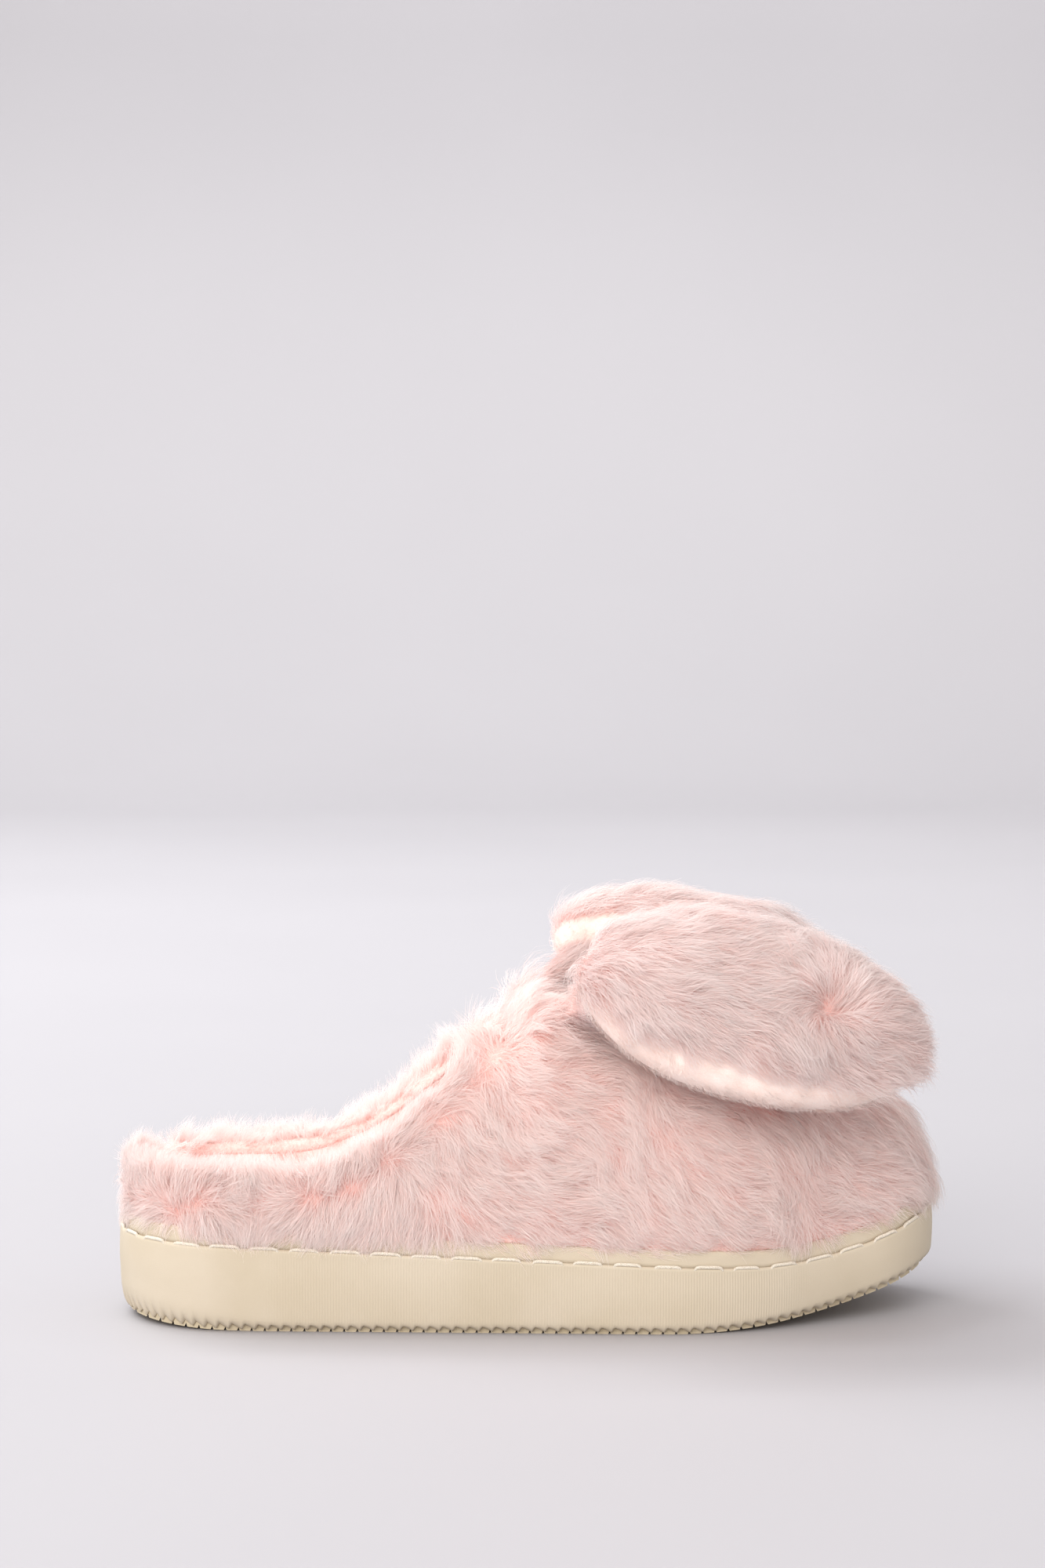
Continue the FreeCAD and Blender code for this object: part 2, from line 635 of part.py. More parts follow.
doc.recompute()
faults = []
for item in doc.Objects:
    for word in ("Invalid", "Error"):
        if word in item.State:
            faults.append("%s: %s" % (item.Name, item.State))
for item in nodes:
    if item.Shape.isNull() or not item.Shape.isValid() or not item.Shape.Solids:
        faults.append("%s: no valid solid" % item.Label)
if faults:
    raise RuntimeError("; ".join(faults))

os.makedirs("parts", exist_ok=True)
for item in nodes:
    item.Shape.exportStep(os.path.join("parts", item.Label + ".step"))
    box = item.Shape.BoundBox
    print("%-26s %3d solids %9.1f mm3  x %.1f %.1f  y %.1f %.1f  z %.1f %.1f"
          % (item.Label, len(item.Shape.Solids), item.Shape.Volume,
             box.XMin, box.XMax, box.YMin, box.YMax, box.ZMin, box.ZMax))
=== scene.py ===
import json
import math

import bpy
import numpy as np
from mathutils import Matrix, Vector


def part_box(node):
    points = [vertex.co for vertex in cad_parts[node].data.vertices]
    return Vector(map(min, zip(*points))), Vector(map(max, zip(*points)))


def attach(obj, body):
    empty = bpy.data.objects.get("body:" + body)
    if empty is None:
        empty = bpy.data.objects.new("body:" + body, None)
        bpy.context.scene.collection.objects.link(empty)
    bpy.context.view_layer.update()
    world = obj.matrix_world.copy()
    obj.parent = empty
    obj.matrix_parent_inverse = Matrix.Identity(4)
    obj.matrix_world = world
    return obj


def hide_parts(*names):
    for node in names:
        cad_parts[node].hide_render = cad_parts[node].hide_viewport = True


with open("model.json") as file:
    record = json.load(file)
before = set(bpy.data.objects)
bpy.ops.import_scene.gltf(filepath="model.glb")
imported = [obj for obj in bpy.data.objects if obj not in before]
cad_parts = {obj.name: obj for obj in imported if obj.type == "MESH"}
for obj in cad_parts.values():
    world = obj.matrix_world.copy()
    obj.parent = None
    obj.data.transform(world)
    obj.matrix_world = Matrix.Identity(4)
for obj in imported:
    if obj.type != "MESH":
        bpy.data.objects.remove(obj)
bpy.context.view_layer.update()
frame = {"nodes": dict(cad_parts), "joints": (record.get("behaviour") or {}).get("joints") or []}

MM = 0.001
SHOE = "shoe"
EARS = {"lateral": -1, "medial": 1}


# ------------------------------------------------------------------ small tools

def clamp01(x):
    return np.clip(x, 0.0, 1.0)


def smooth(x, low, high):
    """0 below low, 1 above high, and a smooth step between."""
    f = clamp01((x - low) / (high - low))
    return f * f * (3 - 2 * f)


def unit(v):
    return v / np.maximum(np.linalg.norm(v, axis=-1, keepdims=True), 1e-12)


def waves(seed, size, count=9):
    """A smooth random field over points in space, about -1 to 1, with features of one size."""
    rng = np.random.default_rng(seed)
    k = unit(rng.normal(size=(count, 3))) * (2 * math.pi / size) * rng.uniform(0.6, 1.5, (count, 1))
    phase = rng.uniform(0, 2 * math.pi, count)

    def field(points):
        total = np.zeros(points.shape[:-1])
        for wave, shift in zip(k, phase):
            total += np.sin(points @ wave + shift)
        return total / math.sqrt(count / 2) * 0.6

    return field


def node_points(*names):
    """The corners of CAD nodes, in metres."""
    found = []
    for name in names:
        data = frame["nodes"][name].data
        co = np.empty(len(data.vertices) * 3, np.float32)
        data.vertices.foreach_get("co", co)
        found.append(co.reshape(-1, 3).astype(float))
    return np.concatenate(found)


def hull(points):
    """The convex outline of points in a plane, anticlockwise."""
    points = points[np.lexsort((points[:, 1], points[:, 0]))]
    chains = []
    for run in (points, points[::-1]):
        chain = []
        for p in run:
            while len(chain) > 1:
                a, b = chain[-2], chain[-1]
                if (b[0] - a[0]) * (p[1] - a[1]) - (b[1] - a[1]) * (p[0] - a[0]) > 1e-12:
                    break
                chain.pop()
            chain.append(p)
        chains.append(chain[:-1])
    return np.array(chains[0]), np.array(chains[1])


def curve_of(chain):
    """z as a function of x through a chain of points, level past its ends."""
    chain = chain[np.argsort(chain[:, 0])]
    x, z = chain[:, 0], chain[:, 1]
    return lambda at: np.interp(at, x, z)


def without_steep_ends(chain):
    """The chain less the upright edges that a thick sheet's hull has at its two ends."""
    chain = chain[np.argsort(chain[:, 0])]
    run, rise = np.abs(np.diff(chain, axis=0)).T
    gentle = np.flatnonzero(rise < run)
    return chain[gentle[0]:gentle[-1] + 2]


# ------------------------------------------------------------------ lines from the frame

wall_low, wall_high = hull(node_points("cupsole")[:, :2])
ring = np.concatenate([wall_low, wall_high])
TOE_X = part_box("cupsole")[1][0]

ground_chain, _ = hull(node_points("outsole_tread")[:, ::2])
ground_z = curve_of(without_steep_ends(ground_chain))
seam_z = curve_of(hull(node_points("sidewall_lip")[:, ::2])[0])
BINDING = 3 * MM
rim_low = curve_of(hull(node_points("topline_binding")[:, ::2])[0])
crown_z = curve_of(hull(node_points("vamp_fur")[:, ::2])[1])
THROAT_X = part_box("topline_binding")[1][0]
SIDE_SEAM_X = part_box("collar_fur")[1][0]
PUFF_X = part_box("toe_puff")[0][0]
COUNTER_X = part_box("heel_counter")[1][0]
COUNTER_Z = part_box("heel_counter")[1][2]


def rim_z(x):
    """Height of the topline at a station; it keeps climbing at 45 degrees past the throat."""
    return rim_low(x) + BINDING + np.maximum(x - THROAT_X, 0)


def even_ring(count):
    """The sole's outline as evenly spaced points: heel, outer side, toe, inner side."""
    start = np.argmin(ring[:, 0] + 1e-3 * np.abs(ring[:, 1]))
    loop = np.roll(ring, -start, axis=0)
    loop = np.concatenate([loop, loop[:1]])
    run = np.concatenate([[0], np.cumsum(np.linalg.norm(np.diff(loop, axis=0), axis=1))])
    at = np.linspace(0, run[-1], count, endpoint=False)
    points = np.stack([np.interp(at, run, loop[:, i]) for i in (0, 1)], axis=1)
    for _ in range(max(2, count // 120)):
        points = (np.roll(points, 1, 0) + 2 * points + np.roll(points, -1, 0)) / 4
    along = unit(np.roll(points, -1, 0) - np.roll(points, 1, 0))
    out = np.stack([along[:, 1], -along[:, 0]], axis=1)
    return points, out, run[-1]


# ------------------------------------------------------------------ meshes

def mesh_object(name, verts, faces, material, body, smooth_faces=True):
    """A mesh of quads or triangles given as an index array."""
    data = bpy.data.meshes.new(name)
    faces = np.asarray(faces, np.int32)
    sides = faces.shape[1]
    data.vertices.add(len(verts))
    data.vertices.foreach_set("co", np.asarray(verts, np.float32).ravel())
    data.loops.add(faces.size)
    data.loops.foreach_set("vertex_index", faces.ravel())
    data.polygons.add(len(faces))
    data.polygons.foreach_set("loop_start", np.arange(len(faces), dtype=np.int32) * sides)
    data.polygons.foreach_set("use_smooth", np.full(len(faces), smooth_faces))
    data.update(calc_edges=True)
    data.materials.append(material)
    item = bpy.data.objects.new(name, data)
    bpy.context.scene.collection.objects.link(item)
    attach(item, body)
    return item


def grid_faces(rows, columns, around=False, up=False):
    """Quads over a grid of points; around joins the last row to the first, up the columns."""
    r = np.arange(rows if around else rows - 1)
    c = np.arange(columns if up else columns - 1)
    r, c = (m.ravel() for m in np.meshgrid(r, c, indexing="ij"))
    r2, c2 = (r + 1) % rows, (c + 1) % columns
    return np.stack([r * columns + c, r2 * columns + c, r2 * columns + c2, r * columns + c2], 1)


def shell_object(name, outer, inner, material, body, around=False, keep=None):
    """A closed sheet between two grids of points, with its edges closed."""
    rows, columns = outer.shape[:2]
    faces = grid_faces(rows, columns, around)
    if keep is not None:
        faces = faces[keep.reshape(-1)[faces].all(axis=1)]
    size = rows * columns
    flipped = faces[:, ::-1] + size
    edges = np.concatenate([faces[:, [i, (i + 1) % 4]] for i in range(4)])
    key = np.sort(edges, axis=1) @ np.array([size, 1])
    _, first, times = np.unique(key, return_index=True, return_counts=True)
    rim = edges[first[times == 1]]
    closing = np.stack([rim[:, 1], rim[:, 0], rim[:, 0] + size, rim[:, 1] + size], 1)
    everything = np.concatenate([faces, flipped, closing])
    verts = np.concatenate([outer.reshape(-1, 3), inner.reshape(-1, 3)])
    used, everything = np.unique(everything, return_inverse=True)
    return mesh_object(name, verts[used], everything.reshape(-1, 4), material, body)


def grid_normals(grid, around=False):
    """Normals of a grid whose rows run round the shoe and whose columns run up it."""
    if around:
        across = np.roll(grid, -1, 0) - np.roll(grid, 1, 0)
    else:
        across = np.gradient(grid, axis=0)
    rise = np.gradient(grid, axis=1)
    return unit(np.cross(across, rise))


# ------------------------------------------------------------------ materials

class Paint:
    """A node material built step by step round one Principled shader."""

    def __init__(self, name, roughness, sheen=0.0, sheen_roughness=0.5, specular=0.3):
        self.material = bpy.data.materials.new(name)
        self.material.use_nodes = True
        self.tree = self.material.node_tree
        self.shader = self.tree.nodes["Principled BSDF"]
        self.shader.inputs["Roughness"].default_value = roughness
        self.shader.inputs["Specular IOR Level"].default_value = specular
        self.shader.inputs["Sheen Weight"].default_value = sheen
        self.shader.inputs["Sheen Roughness"].default_value = sheen_roughness
        self.height = None

    def new(self, kind, **values):
        made = self.tree.nodes.new(kind)
        for key, value in values.items():
            if key in made.inputs:
                made.inputs[key].default_value = value
            else:
                setattr(made, key, value)
        return made

    def link(self, output, target):
        self.tree.links.new(output, target)

    def noise(self, scale, detail=3.0, stretch=(1, 1, 1)):
        place = self.new("ShaderNodeTexCoord")
        mapping = self.new("ShaderNodeMapping", Scale=stretch)
        noise = self.new("ShaderNodeTexNoise", Scale=scale, Detail=detail)
        self.link(place.outputs["Object"], mapping.inputs["Vector"])
        self.link(mapping.outputs["Vector"], noise.inputs["Vector"])
        return noise.outputs["Fac"]

    def ramp(self, value, stops):
        made = self.new("ShaderNodeValToRGB")
        band = made.color_ramp
        while len(band.elements) < len(stops):
            band.elements.new(0.5)
        for element, (at, colour) in zip(band.elements, stops):
            element.position = at
            element.color = (*colour, 1)
        self.link(value, made.inputs["Fac"])
        return made.outputs["Color"]

    def mix(self, factor, first, second, blend="MIX"):
        made = self.new("ShaderNodeMix", data_type="RGBA", blend_type=blend)
        for value, socket in ((factor, made.inputs[0]), (first, made.inputs[6]),
                              (second, made.inputs[7])):
            if isinstance(value, bpy.types.NodeSocket):
                self.link(value, socket)
            else:
                socket.default_value = value if isinstance(value, float) else (*value, 1)
        return made.outputs[2]

    def colour(self, output):
        self.link(output, self.shader.inputs["Base Color"])

    def bump(self, value, depth_mm, strength=1.0):
        made = self.new("ShaderNodeBump", Strength=strength, Distance=depth_mm * MM)
        self.link(value, made.inputs["Height"])
        if self.height is not None:
            self.link(self.height, made.inputs["Normal"])
        self.height = made.outputs["Normal"]
        self.link(self.height, self.shader.inputs["Normal"])


def srgb(r, g, b):
    """An 8-bit screen colour as the light it stands for."""
    return tuple(((c / 255 + 0.055) / 1.055) ** 2.4 for c in (r, g, b))


# Hair colour from root to tip: the roots are painted darker and pinker than the tips, as painted
# shade deep in the pile.
FUR_ROOT = srgb(252, 232, 228)
FUR_MID = srgb(255, 246, 244)
FUR_TIP = srgb(255, 253, 252)


def fur_material(name, shade=(1, 1, 1)):
    """Colour runs up each hair from the map's second number; its first gives the lock's tone."""
    # A shade below one makes a darker copy of the same fur, which paints shade onto the ears.
    root, middle, tip = (tuple(np.array(stop) * shade) for stop in (FUR_ROOT, FUR_MID, FUR_TIP))
    paint = Paint(name, 0.62, sheen=0.35, sheen_roughness=0.4, specular=0.25)
    place = paint.new("ShaderNodeUVMap", uv_map="OFBake")
    split = paint.new("ShaderNodeSeparateXYZ")
    paint.link(place.outputs["UV"], split.inputs["Vector"])
    # the darker roots of this ramp are painted shade deep in the pile
    hair = paint.ramp(split.outputs["Y"], [(0.0, root), (0.45, middle), (1.0, tip)])
    tone = paint.ramp(split.outputs["X"], [(0.0, srgb(250, 232, 228)), (0.5, srgb(255, 250, 249)),
                                           (1.0, srgb(255, 255, 255))])
    shown = paint.mix(1.0, hair, tone, "MULTIPLY")
    paint.colour(shown)
    glow = paint.new("ShaderNodeBsdfTranslucent")
    both = paint.new("ShaderNodeMixShader", Fac=0.55)
    paint.link(shown, glow.inputs["Color"])
    end = paint.tree.nodes["Material Output"]
    paint.link(paint.shader.outputs["BSDF"], both.inputs[1])
    paint.link(glow.outputs["BSDF"], both.inputs[2])
    paint.link(both.outputs["Shader"], end.inputs["Surface"])
    return paint.material


def backing_material():
    """Knitted backing cloth with the roots of the pile; painted darker and pinker as the shade deep
    in it.
    """
    paint = Paint("fur_backing", 0.9, sheen=0.3)
    tuft = paint.noise(900, 4)
    paint.colour(paint.ramp(tuft, [(0.3, srgb(244, 198, 191)), (0.7, srgb(250, 222, 216))]))
    paint.bump(tuft, 0.8)
    return paint.material


def velour_material(name):
    """Short shorn pile: soft mottling where it lies one way or the other."""
    paint = Paint(name, 0.85, sheen=0.6, sheen_roughness=0.35, specular=0.15)
    lay = paint.noise(55, 3)
    fuzz = paint.noise(2600, 2)
    tone = paint.ramp(lay, [(0.3, srgb(253, 232, 224)), (0.7, srgb(255, 240, 233))])
    paint.colour(paint.mix(0.35, tone, paint.ramp(
        fuzz, [(0.35, srgb(249, 220, 210)), (0.65, srgb(255, 244, 239))])))
    paint.bump(fuzz, 0.25, 0.6)
    paint.bump(lay, 0.6, 0.4)
    return paint.material


def plush_material():
    """Lining plush: curly short pile."""
    paint = Paint("plush_lining", 0.9, sheen=0.5, sheen_roughness=0.4, specular=0.15)
    curl = paint.noise(420, 4)
    broad = paint.noise(60, 2)
    tone = paint.ramp(broad, [(0.3, srgb(248, 218, 212)), (0.7, srgb(252, 230, 225))])
    paint.colour(paint.mix(0.5, tone, paint.ramp(
        curl, [(0.3, srgb(244, 206, 199)), (0.7, srgb(254, 240, 236))])))
    paint.bump(curl, 1.2, 0.9)
    return paint.material


def sole_material(name, light, dark, grain_mm=0.12):
    """Moulded foam rubber: fine pores and a slight mottle."""
    paint = Paint(name, 0.62, specular=0.35)
    pores = paint.noise(3200, 2)
    mottle = paint.noise(38, 3)
    base = paint.ramp(mottle, [(0.3, dark), (0.7, light)])
    paint.colour(paint.mix(0.12, base, paint.ramp(pores, [(0.4, dark), (0.6, light)])))
    paint.bump(pores, grain_mm, 0.35)
    return paint.material


def thread_material():
    """Twisted thread, as slanting bands along each stitch."""
    paint = Paint("thread", 0.6, sheen=0.2)
    twist = paint.noise(2400, 1, (1, 3, 3))
    paint.colour(paint.ramp(twist, [(0.35, srgb(196, 184, 164)), (0.6, srgb(236, 229, 216))]))
    paint.bump(twist, 0.2, 0.6)
    return paint.material


def plain_material(name, dark, light, scale, roughness=0.85, depth=0.3):
    paint = Paint(name, roughness, specular=0.2)
    grain = paint.noise(scale, 4)
    paint.colour(paint.ramp(grain, [(0.3, dark), (0.7, light)]))
    paint.bump(grain, depth, 0.5)
    return paint.material


FUR = fur_material("fur")
# The ears' pile is a slightly darker, greyer copy of the fur: painted shade on the ears.
EAR_FUR = fur_material("ear_fur", (0.955, 0.95, 0.955))
BACKING = backing_material()
VELOUR = velour_material("velour")
NAP = velour_material("velour_nap")
PLUSH = plush_material()
WALL = sole_material("sole_foam", srgb(203, 191, 172), srgb(195, 182, 160))
TREAD = sole_material("tread_rubber", srgb(204, 191, 165), srgb(190, 175, 148), 0.2)
THREAD = thread_material()
FOAM = plain_material("foam", srgb(226, 220, 200), srgb(246, 242, 230), 700)
FIBRE = plain_material("stuffing_fibre", srgb(225, 225, 222), srgb(250, 250, 248), 260)
BOARD = plain_material("fibre_board", srgb(176, 150, 112), srgb(205, 182, 146), 500)
SHEET = plain_material("stiffener_sheet", srgb(208, 205, 194), srgb(226, 223, 212), 120, 0.5)
TAPE = plain_material("woven_tape", srgb(214, 150, 143), srgb(236, 184, 177), 1500)


# ------------------------------------------------------------------ sole

RIB_PITCH = 0.85 * MM
RIB_DEPTH = 0.16 * MM
RIB_REACH = 88 * MM      # the ribs fade out this far from mid length
TOOTH_PITCH = 4.0 * MM
TOOTH_DEPTH = 1.3 * MM
WALL_THICK = 3.2 * MM
WALL_DRAFT = 0.25 * MM   # the wall's ends stand this far in from the sole's outline
FOOT_CURL = 2.4 * MM     # how far the wall's foot rolls in
LEDGE_ROUND = 1.3 * MM
LIP_SETBACK = 1.4 * MM
LIP_TOP = 5.0 * MM
STITCHES = 49
STITCH_PITCH = 24        # outline points from one stitch to the next
TREAD_TOP = 3.0 * MM


def swept_ring(name, count, profile, material):
    """A closed ring round the sole; profile gives insets and heights for each outline point."""
    points, out, length = even_ring(count)
    inset, height = profile(points, length)
    place = points[:, None, :] - out[:, None, :] * inset[..., None]
    grid = np.concatenate([place, height[..., None]], axis=2)
    faces = grid_faces(count, inset.shape[1], around=True, up=True)
    return mesh_object(name, grid.reshape(-1, 3), faces, material, SHOE)


def wall_profile(points, length):
    """Out over the rounded foot of the wall, up its ribbed face, over the ledge, down inside."""
    x = points[:, 0]
    top = seam_z(x)
    low = ground_z(x) + 0.5 * MM
    heel = smooth(-x, 0.6 * TOE_X, 1.0 * TOE_X)
    bend = (4.0 + 7.0 * heel) * MM
    columns = [(np.full_like(x, 2.85 * MM), low + FOOT_CURL)]
    for turn in np.linspace(0, math.pi / 2, 7):
        columns.append((FOOT_CURL * (1 - math.sin(turn)) + WALL_DRAFT,
                        low + bend * (1 - math.cos(turn))))
    rise = top - LEDGE_ROUND - (low + bend)
    for share in np.linspace(0.06, 1.0, 12):
        bow = WALL_DRAFT * (1 - math.sin(math.pi * share))
        columns.append((np.full_like(x, bow), low + bend + rise * share))
    for turn in np.linspace(0.25, 1.0, 4) * math.pi / 2:
        columns.append((np.full_like(x, WALL_DRAFT + 0.9 * MM * (1 - math.cos(turn))),
                        top - LEDGE_ROUND + 1.2 * MM * math.sin(turn)))
    columns.append((np.full_like(x, LIP_SETBACK + 0.2 * MM), top - 0.5 * MM))
    columns.append((np.full_like(x, WALL_THICK), top - 0.4 * MM))
    floor = ground_z(x) + TREAD_TOP
    columns.append((np.full_like(x, WALL_THICK), (top + low) / 2))
    columns.append((np.full_like(x, WALL_THICK), floor + 2.0 * MM))
    columns.append((np.full_like(x, 10 * MM), floor + 2.0 * MM))
    columns.append((np.full_like(x, 10 * MM), floor + 0.1 * MM))
    columns.append((np.full_like(x, 4.5 * MM), floor + 0.1 * MM))
    inset = np.stack([np.broadcast_to(c[0], x.shape) for c in columns], axis=1).copy()
    height = np.stack([c[1] for c in columns], axis=1)
    teeth = round(length / TOOTH_PITCH)
    saw = np.mod(np.arange(len(x)) / len(x) * teeth, 1.0)
    saw = np.minimum(saw / 0.75, (1 - saw) / 0.25)
    for column, share in ((1, 1.0), (2, 1.0), (3, 0.8), (4, 0.4)):
        height[:, column] += TOOTH_DEPTH * share * (1 - saw)
        inset[:, column] += 0.5 * TOOTH_DEPTH * share * (1 - saw)
    ribs = round(length / RIB_PITCH)
    wave = np.cos(np.arange(len(x)) / len(x) * ribs * 2 * math.pi)
    fade = 1 - smooth(np.abs(x), 0.75 * RIB_REACH, RIB_REACH)
    inset[:, 6:20] += (RIB_DEPTH * (0.5 - 0.5 * wave) * fade)[:, None]
    return inset, height


def lip_profile(points, _):
    """The set-back strip above the ledge, leaning in a little, with a soft top edge."""
    x = points[:, 0]
    base = seam_z(x) - 0.5 * MM
    columns = [(LIP_SETBACK, 0.0), (LIP_SETBACK + 0.1 * MM, 1.5 * MM),
               (LIP_SETBACK + 0.3 * MM, 4 * MM), (LIP_SETBACK + 0.5 * MM, LIP_TOP),
               (LIP_SETBACK + 0.9 * MM, LIP_TOP + 0.4 * MM),
               (WALL_THICK - 0.2 * MM, LIP_TOP + 0.4 * MM), (WALL_THICK, LIP_TOP),
               (WALL_THICK, 0.0)]
    inset = np.tile([c[0] for c in columns], (len(x), 1))
    height = base[:, None] + np.array([c[1] for c in columns])
    return inset, height


def inset_outline(count, inset):
    points, out, _ = even_ring(count)
    return points - out * inset


def filled_outline(name, inset, low, high, material, crown=0.0, rings=14, count=260, fuzz=0.0):
    """A closed pad that fills the sole's outline; low and high give z at a station."""
    edge = inset_outline(count, inset)
    heart = np.array([0.9 * edge[:, 0], 0.12 * edge[:, 1]]).T
    shares = np.linspace(0, 1, rings)
    plan = edge[:, None] + (heart - edge)[:, None] * shares[None, :, None]
    dome = crown * np.sqrt(np.clip(1 - (1 - shares) ** 3, 0, 1))
    ripple = waves(5, 22 * MM)
    top = high(plan[..., 0]) - crown + dome[None, :]
    top += fuzz * ripple(np.concatenate([plan, top[..., None]], 2)) * smooth(shares, 0, 0.3)
    upper = np.concatenate([plan, top[..., None]], axis=2)
    lower = np.concatenate([plan, low(plan[..., 0])[..., None]], axis=2)
    faces = grid_faces(count, rings, around=True)
    size = count * rings
    side = np.arange(count)
    after = (side + 1) % count
    wall = np.stack([side * rings, after * rings, after * rings + size, side * rings + size], 1)
    mid = rings - 1
    half = np.arange(1, count // 2)
    cap = np.stack([half, half + 1, (count - half - 1) % count, count - half], 1) * rings + mid
    cap = cap[:-1]
    lid = np.concatenate([cap, cap[:, ::-1] + size])
    verts = np.concatenate([upper.reshape(-1, 3), lower.reshape(-1, 3)])
    everything = np.concatenate([faces, faces[:, ::-1] + size, wall[:, ::-1], lid])
    return mesh_object(name, verts, everything, material, SHOE)


def stitches():
    """Long thread stitches on the ledge; each dips into the wall at both ends."""
    count = STITCHES
    points, out, _ = even_ring(count * STITCH_PITCH)
    verts = []
    faces = []
    rng = np.random.default_rng(11)
    sides, steps = 7, 13
    for i in range(count):
        span = 18 + rng.integers(-1, 2)
        index = (i * STITCH_PITCH + np.linspace(0, span, steps)) % len(points)
        low_i = index.astype(int)
        share = (index - low_i)[:, None]
        place = points[low_i] * (1 - share) + points[(low_i + 1) % len(points)] * share
        share = np.linspace(-1, 1, steps)
        depth = 0.75 * MM + rng.uniform(-0.1, 0.1) * MM
        place = place - out[low_i] * depth
        dip = 1.3 * MM * np.abs(share) ** 9
        height = seam_z(place[:, 0]) + 0.15 * MM - dip + 0.12 * MM * rng.normal()
        centre = np.concatenate([place, height[:, None]], axis=1)
        along = unit(np.gradient(centre, axis=0))
        side = unit(np.cross(along, [0, 0, 1]))
        up = np.cross(side, along)
        radius = 0.55 * MM * (1 - 0.35 * np.abs(share) ** 6)
        start = len(verts) * sides
        for k in range(steps):
            angle = np.linspace(0, 2 * math.pi, sides, endpoint=False)
            verts.append(centre[k] + radius[k] * (np.cos(angle)[:, None] * side[k]
                                                  + np.sin(angle)[:, None] * up[k]))
        faces.append(grid_faces(steps, sides, up=True) + start)
        ends = [start + np.array([0, 1, 2, 3]), start + np.array([0, 3, 4, 6]),
                start + (steps - 1) * sides + np.array([3, 2, 1, 0])]
        faces.append(np.array(ends))
    return mesh_object("stitch_row", np.concatenate(verts), np.concatenate(faces), THREAD, SHOE)


def build_sole():
    wall = swept_ring("cupsole_wall", 3012, wall_profile, WALL)
    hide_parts("cupsole")
    floor = filled_outline("cupsole_floor", 9.0 * MM, lambda x: ground_z(x) + TREAD_TOP,
                           lambda x: ground_z(x) + TREAD_TOP + 2 * MM, WALL)
    lip = swept_ring("lip_strip", 900, lip_profile, WALL)
    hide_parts("sidewall_lip")
    row = stitches()
    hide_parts("sidewall_stitches")
    for name, material in (("outsole_tread", TREAD), ("midsole_foam", FOAM),
                           ("insole_board", BOARD)):
        dress(name, material)
    foam = filled_outline("footbed_cushion", 10.4 * MM, lambda x: seam_z(x) - 9.0 * MM,
                          lambda x: seam_z(x) - 4.2 * MM, FOAM)
    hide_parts("footbed_foam")
    sock = filled_outline("footbed_plush", 10.2 * MM, lambda x: seam_z(x) - 4.1 * MM,
                          lambda x: seam_z(x) - 0.8 * MM, PLUSH, crown=1.8 * MM, rings=40,
                          fuzz=0.35 * MM)
    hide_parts("footbed_sock")


def dress(name, material):
    """Gives a CAD node its material."""
    data = frame["nodes"][name].data
    data.materials.clear()
    data.materials.append(material)


# ------------------------------------------------------------------ upper

SKIN_INSET = 4.2 * MM     # the backing's inset from the sole's edge at the seam
PILE_STANDS = 5.5 * MM    # how far the CAD surface stands out from the backing at the crown
SPINE = 0.095             # how far the top line of the closed form reaches
FULL = 2.0 / 2.7          # fullness of the arch; 1 is an ellipse
ROUND_COUNT, UP_COUNT = 720, 110


def upper_grid():
    """The upper's skin as points: rows round the sole, columns up to the topline or crown."""
    points, out, _ = even_ring(ROUND_COUNT)
    foot = points - out * SKIN_INSET
    spine_x = SPINE * np.tanh(points[:, 0] / SPINE)
    mid_y = 2.5 * MM * smooth(spine_x, 0, 0.08)
    top_x = np.maximum(spine_x, THROAT_X - 6 * MM)
    crown = crown_z(top_x) - PILE_STANDS
    base = seam_z(points[:, 0]) - 8.5 * MM
    shares = np.linspace(0, 1, 400)
    angle = shares * math.pi / 2
    inward = 1 - np.cos(angle) ** FULL
    upward = np.sin(angle) ** FULL
    bulge = 1.2 * MM * np.sin(math.pi * clamp01(upward * 2.2)) * (upward < 0.46)
    x = foot[:, :1] + (spine_x[:, None] - foot[:, :1]) * inward + out[:, :1] * bulge
    y = foot[:, 1:] + (mid_y[:, None] - foot[:, 1:]) * inward + out[:, 1:] * bulge
    z = base[:, None] + (crown - base)[:, None] * upward
    over = z - (rim_z(x) - 1.5 * MM)
    cuts = np.where((over > 0).any(axis=1), (over > 0).argmax(axis=1), len(shares) - 1)
    exact = cuts.astype(float)
    crossed = (over > 0).any(axis=1) & (cuts > 0)
    rows = np.arange(len(cuts))[crossed]
    before, after = over[rows, cuts[crossed] - 1], over[rows, cuts[crossed]]
    exact[crossed] = cuts[crossed] - after / (after - before)
    at = np.linspace(0, 1, UP_COUNT)[None, :] * exact[:, None]
    low = np.minimum(at.astype(int), len(shares) - 2)
    part = at - low
    grid = []
    for field in (x, y, z):
        first = np.take_along_axis(field, low, axis=1)
        second = np.take_along_axis(field, low + 1, axis=1)
        grid.append(first * (1 - part) + second * part)
    grid = np.stack(grid, axis=2)
    puff = waves(31, 55 * MM)(grid) * 0.8 * MM
    normals = grid_normals(grid, around=True)
    puff = puff * smooth(np.linspace(0, 1, UP_COUNT), 0.1, 0.4)
    return grid + normals * puff[..., None], normals


skin, skin_normal = upper_grid()


def deeper(depth):
    """The skin moved in along its normals."""
    return skin - skin_normal * depth


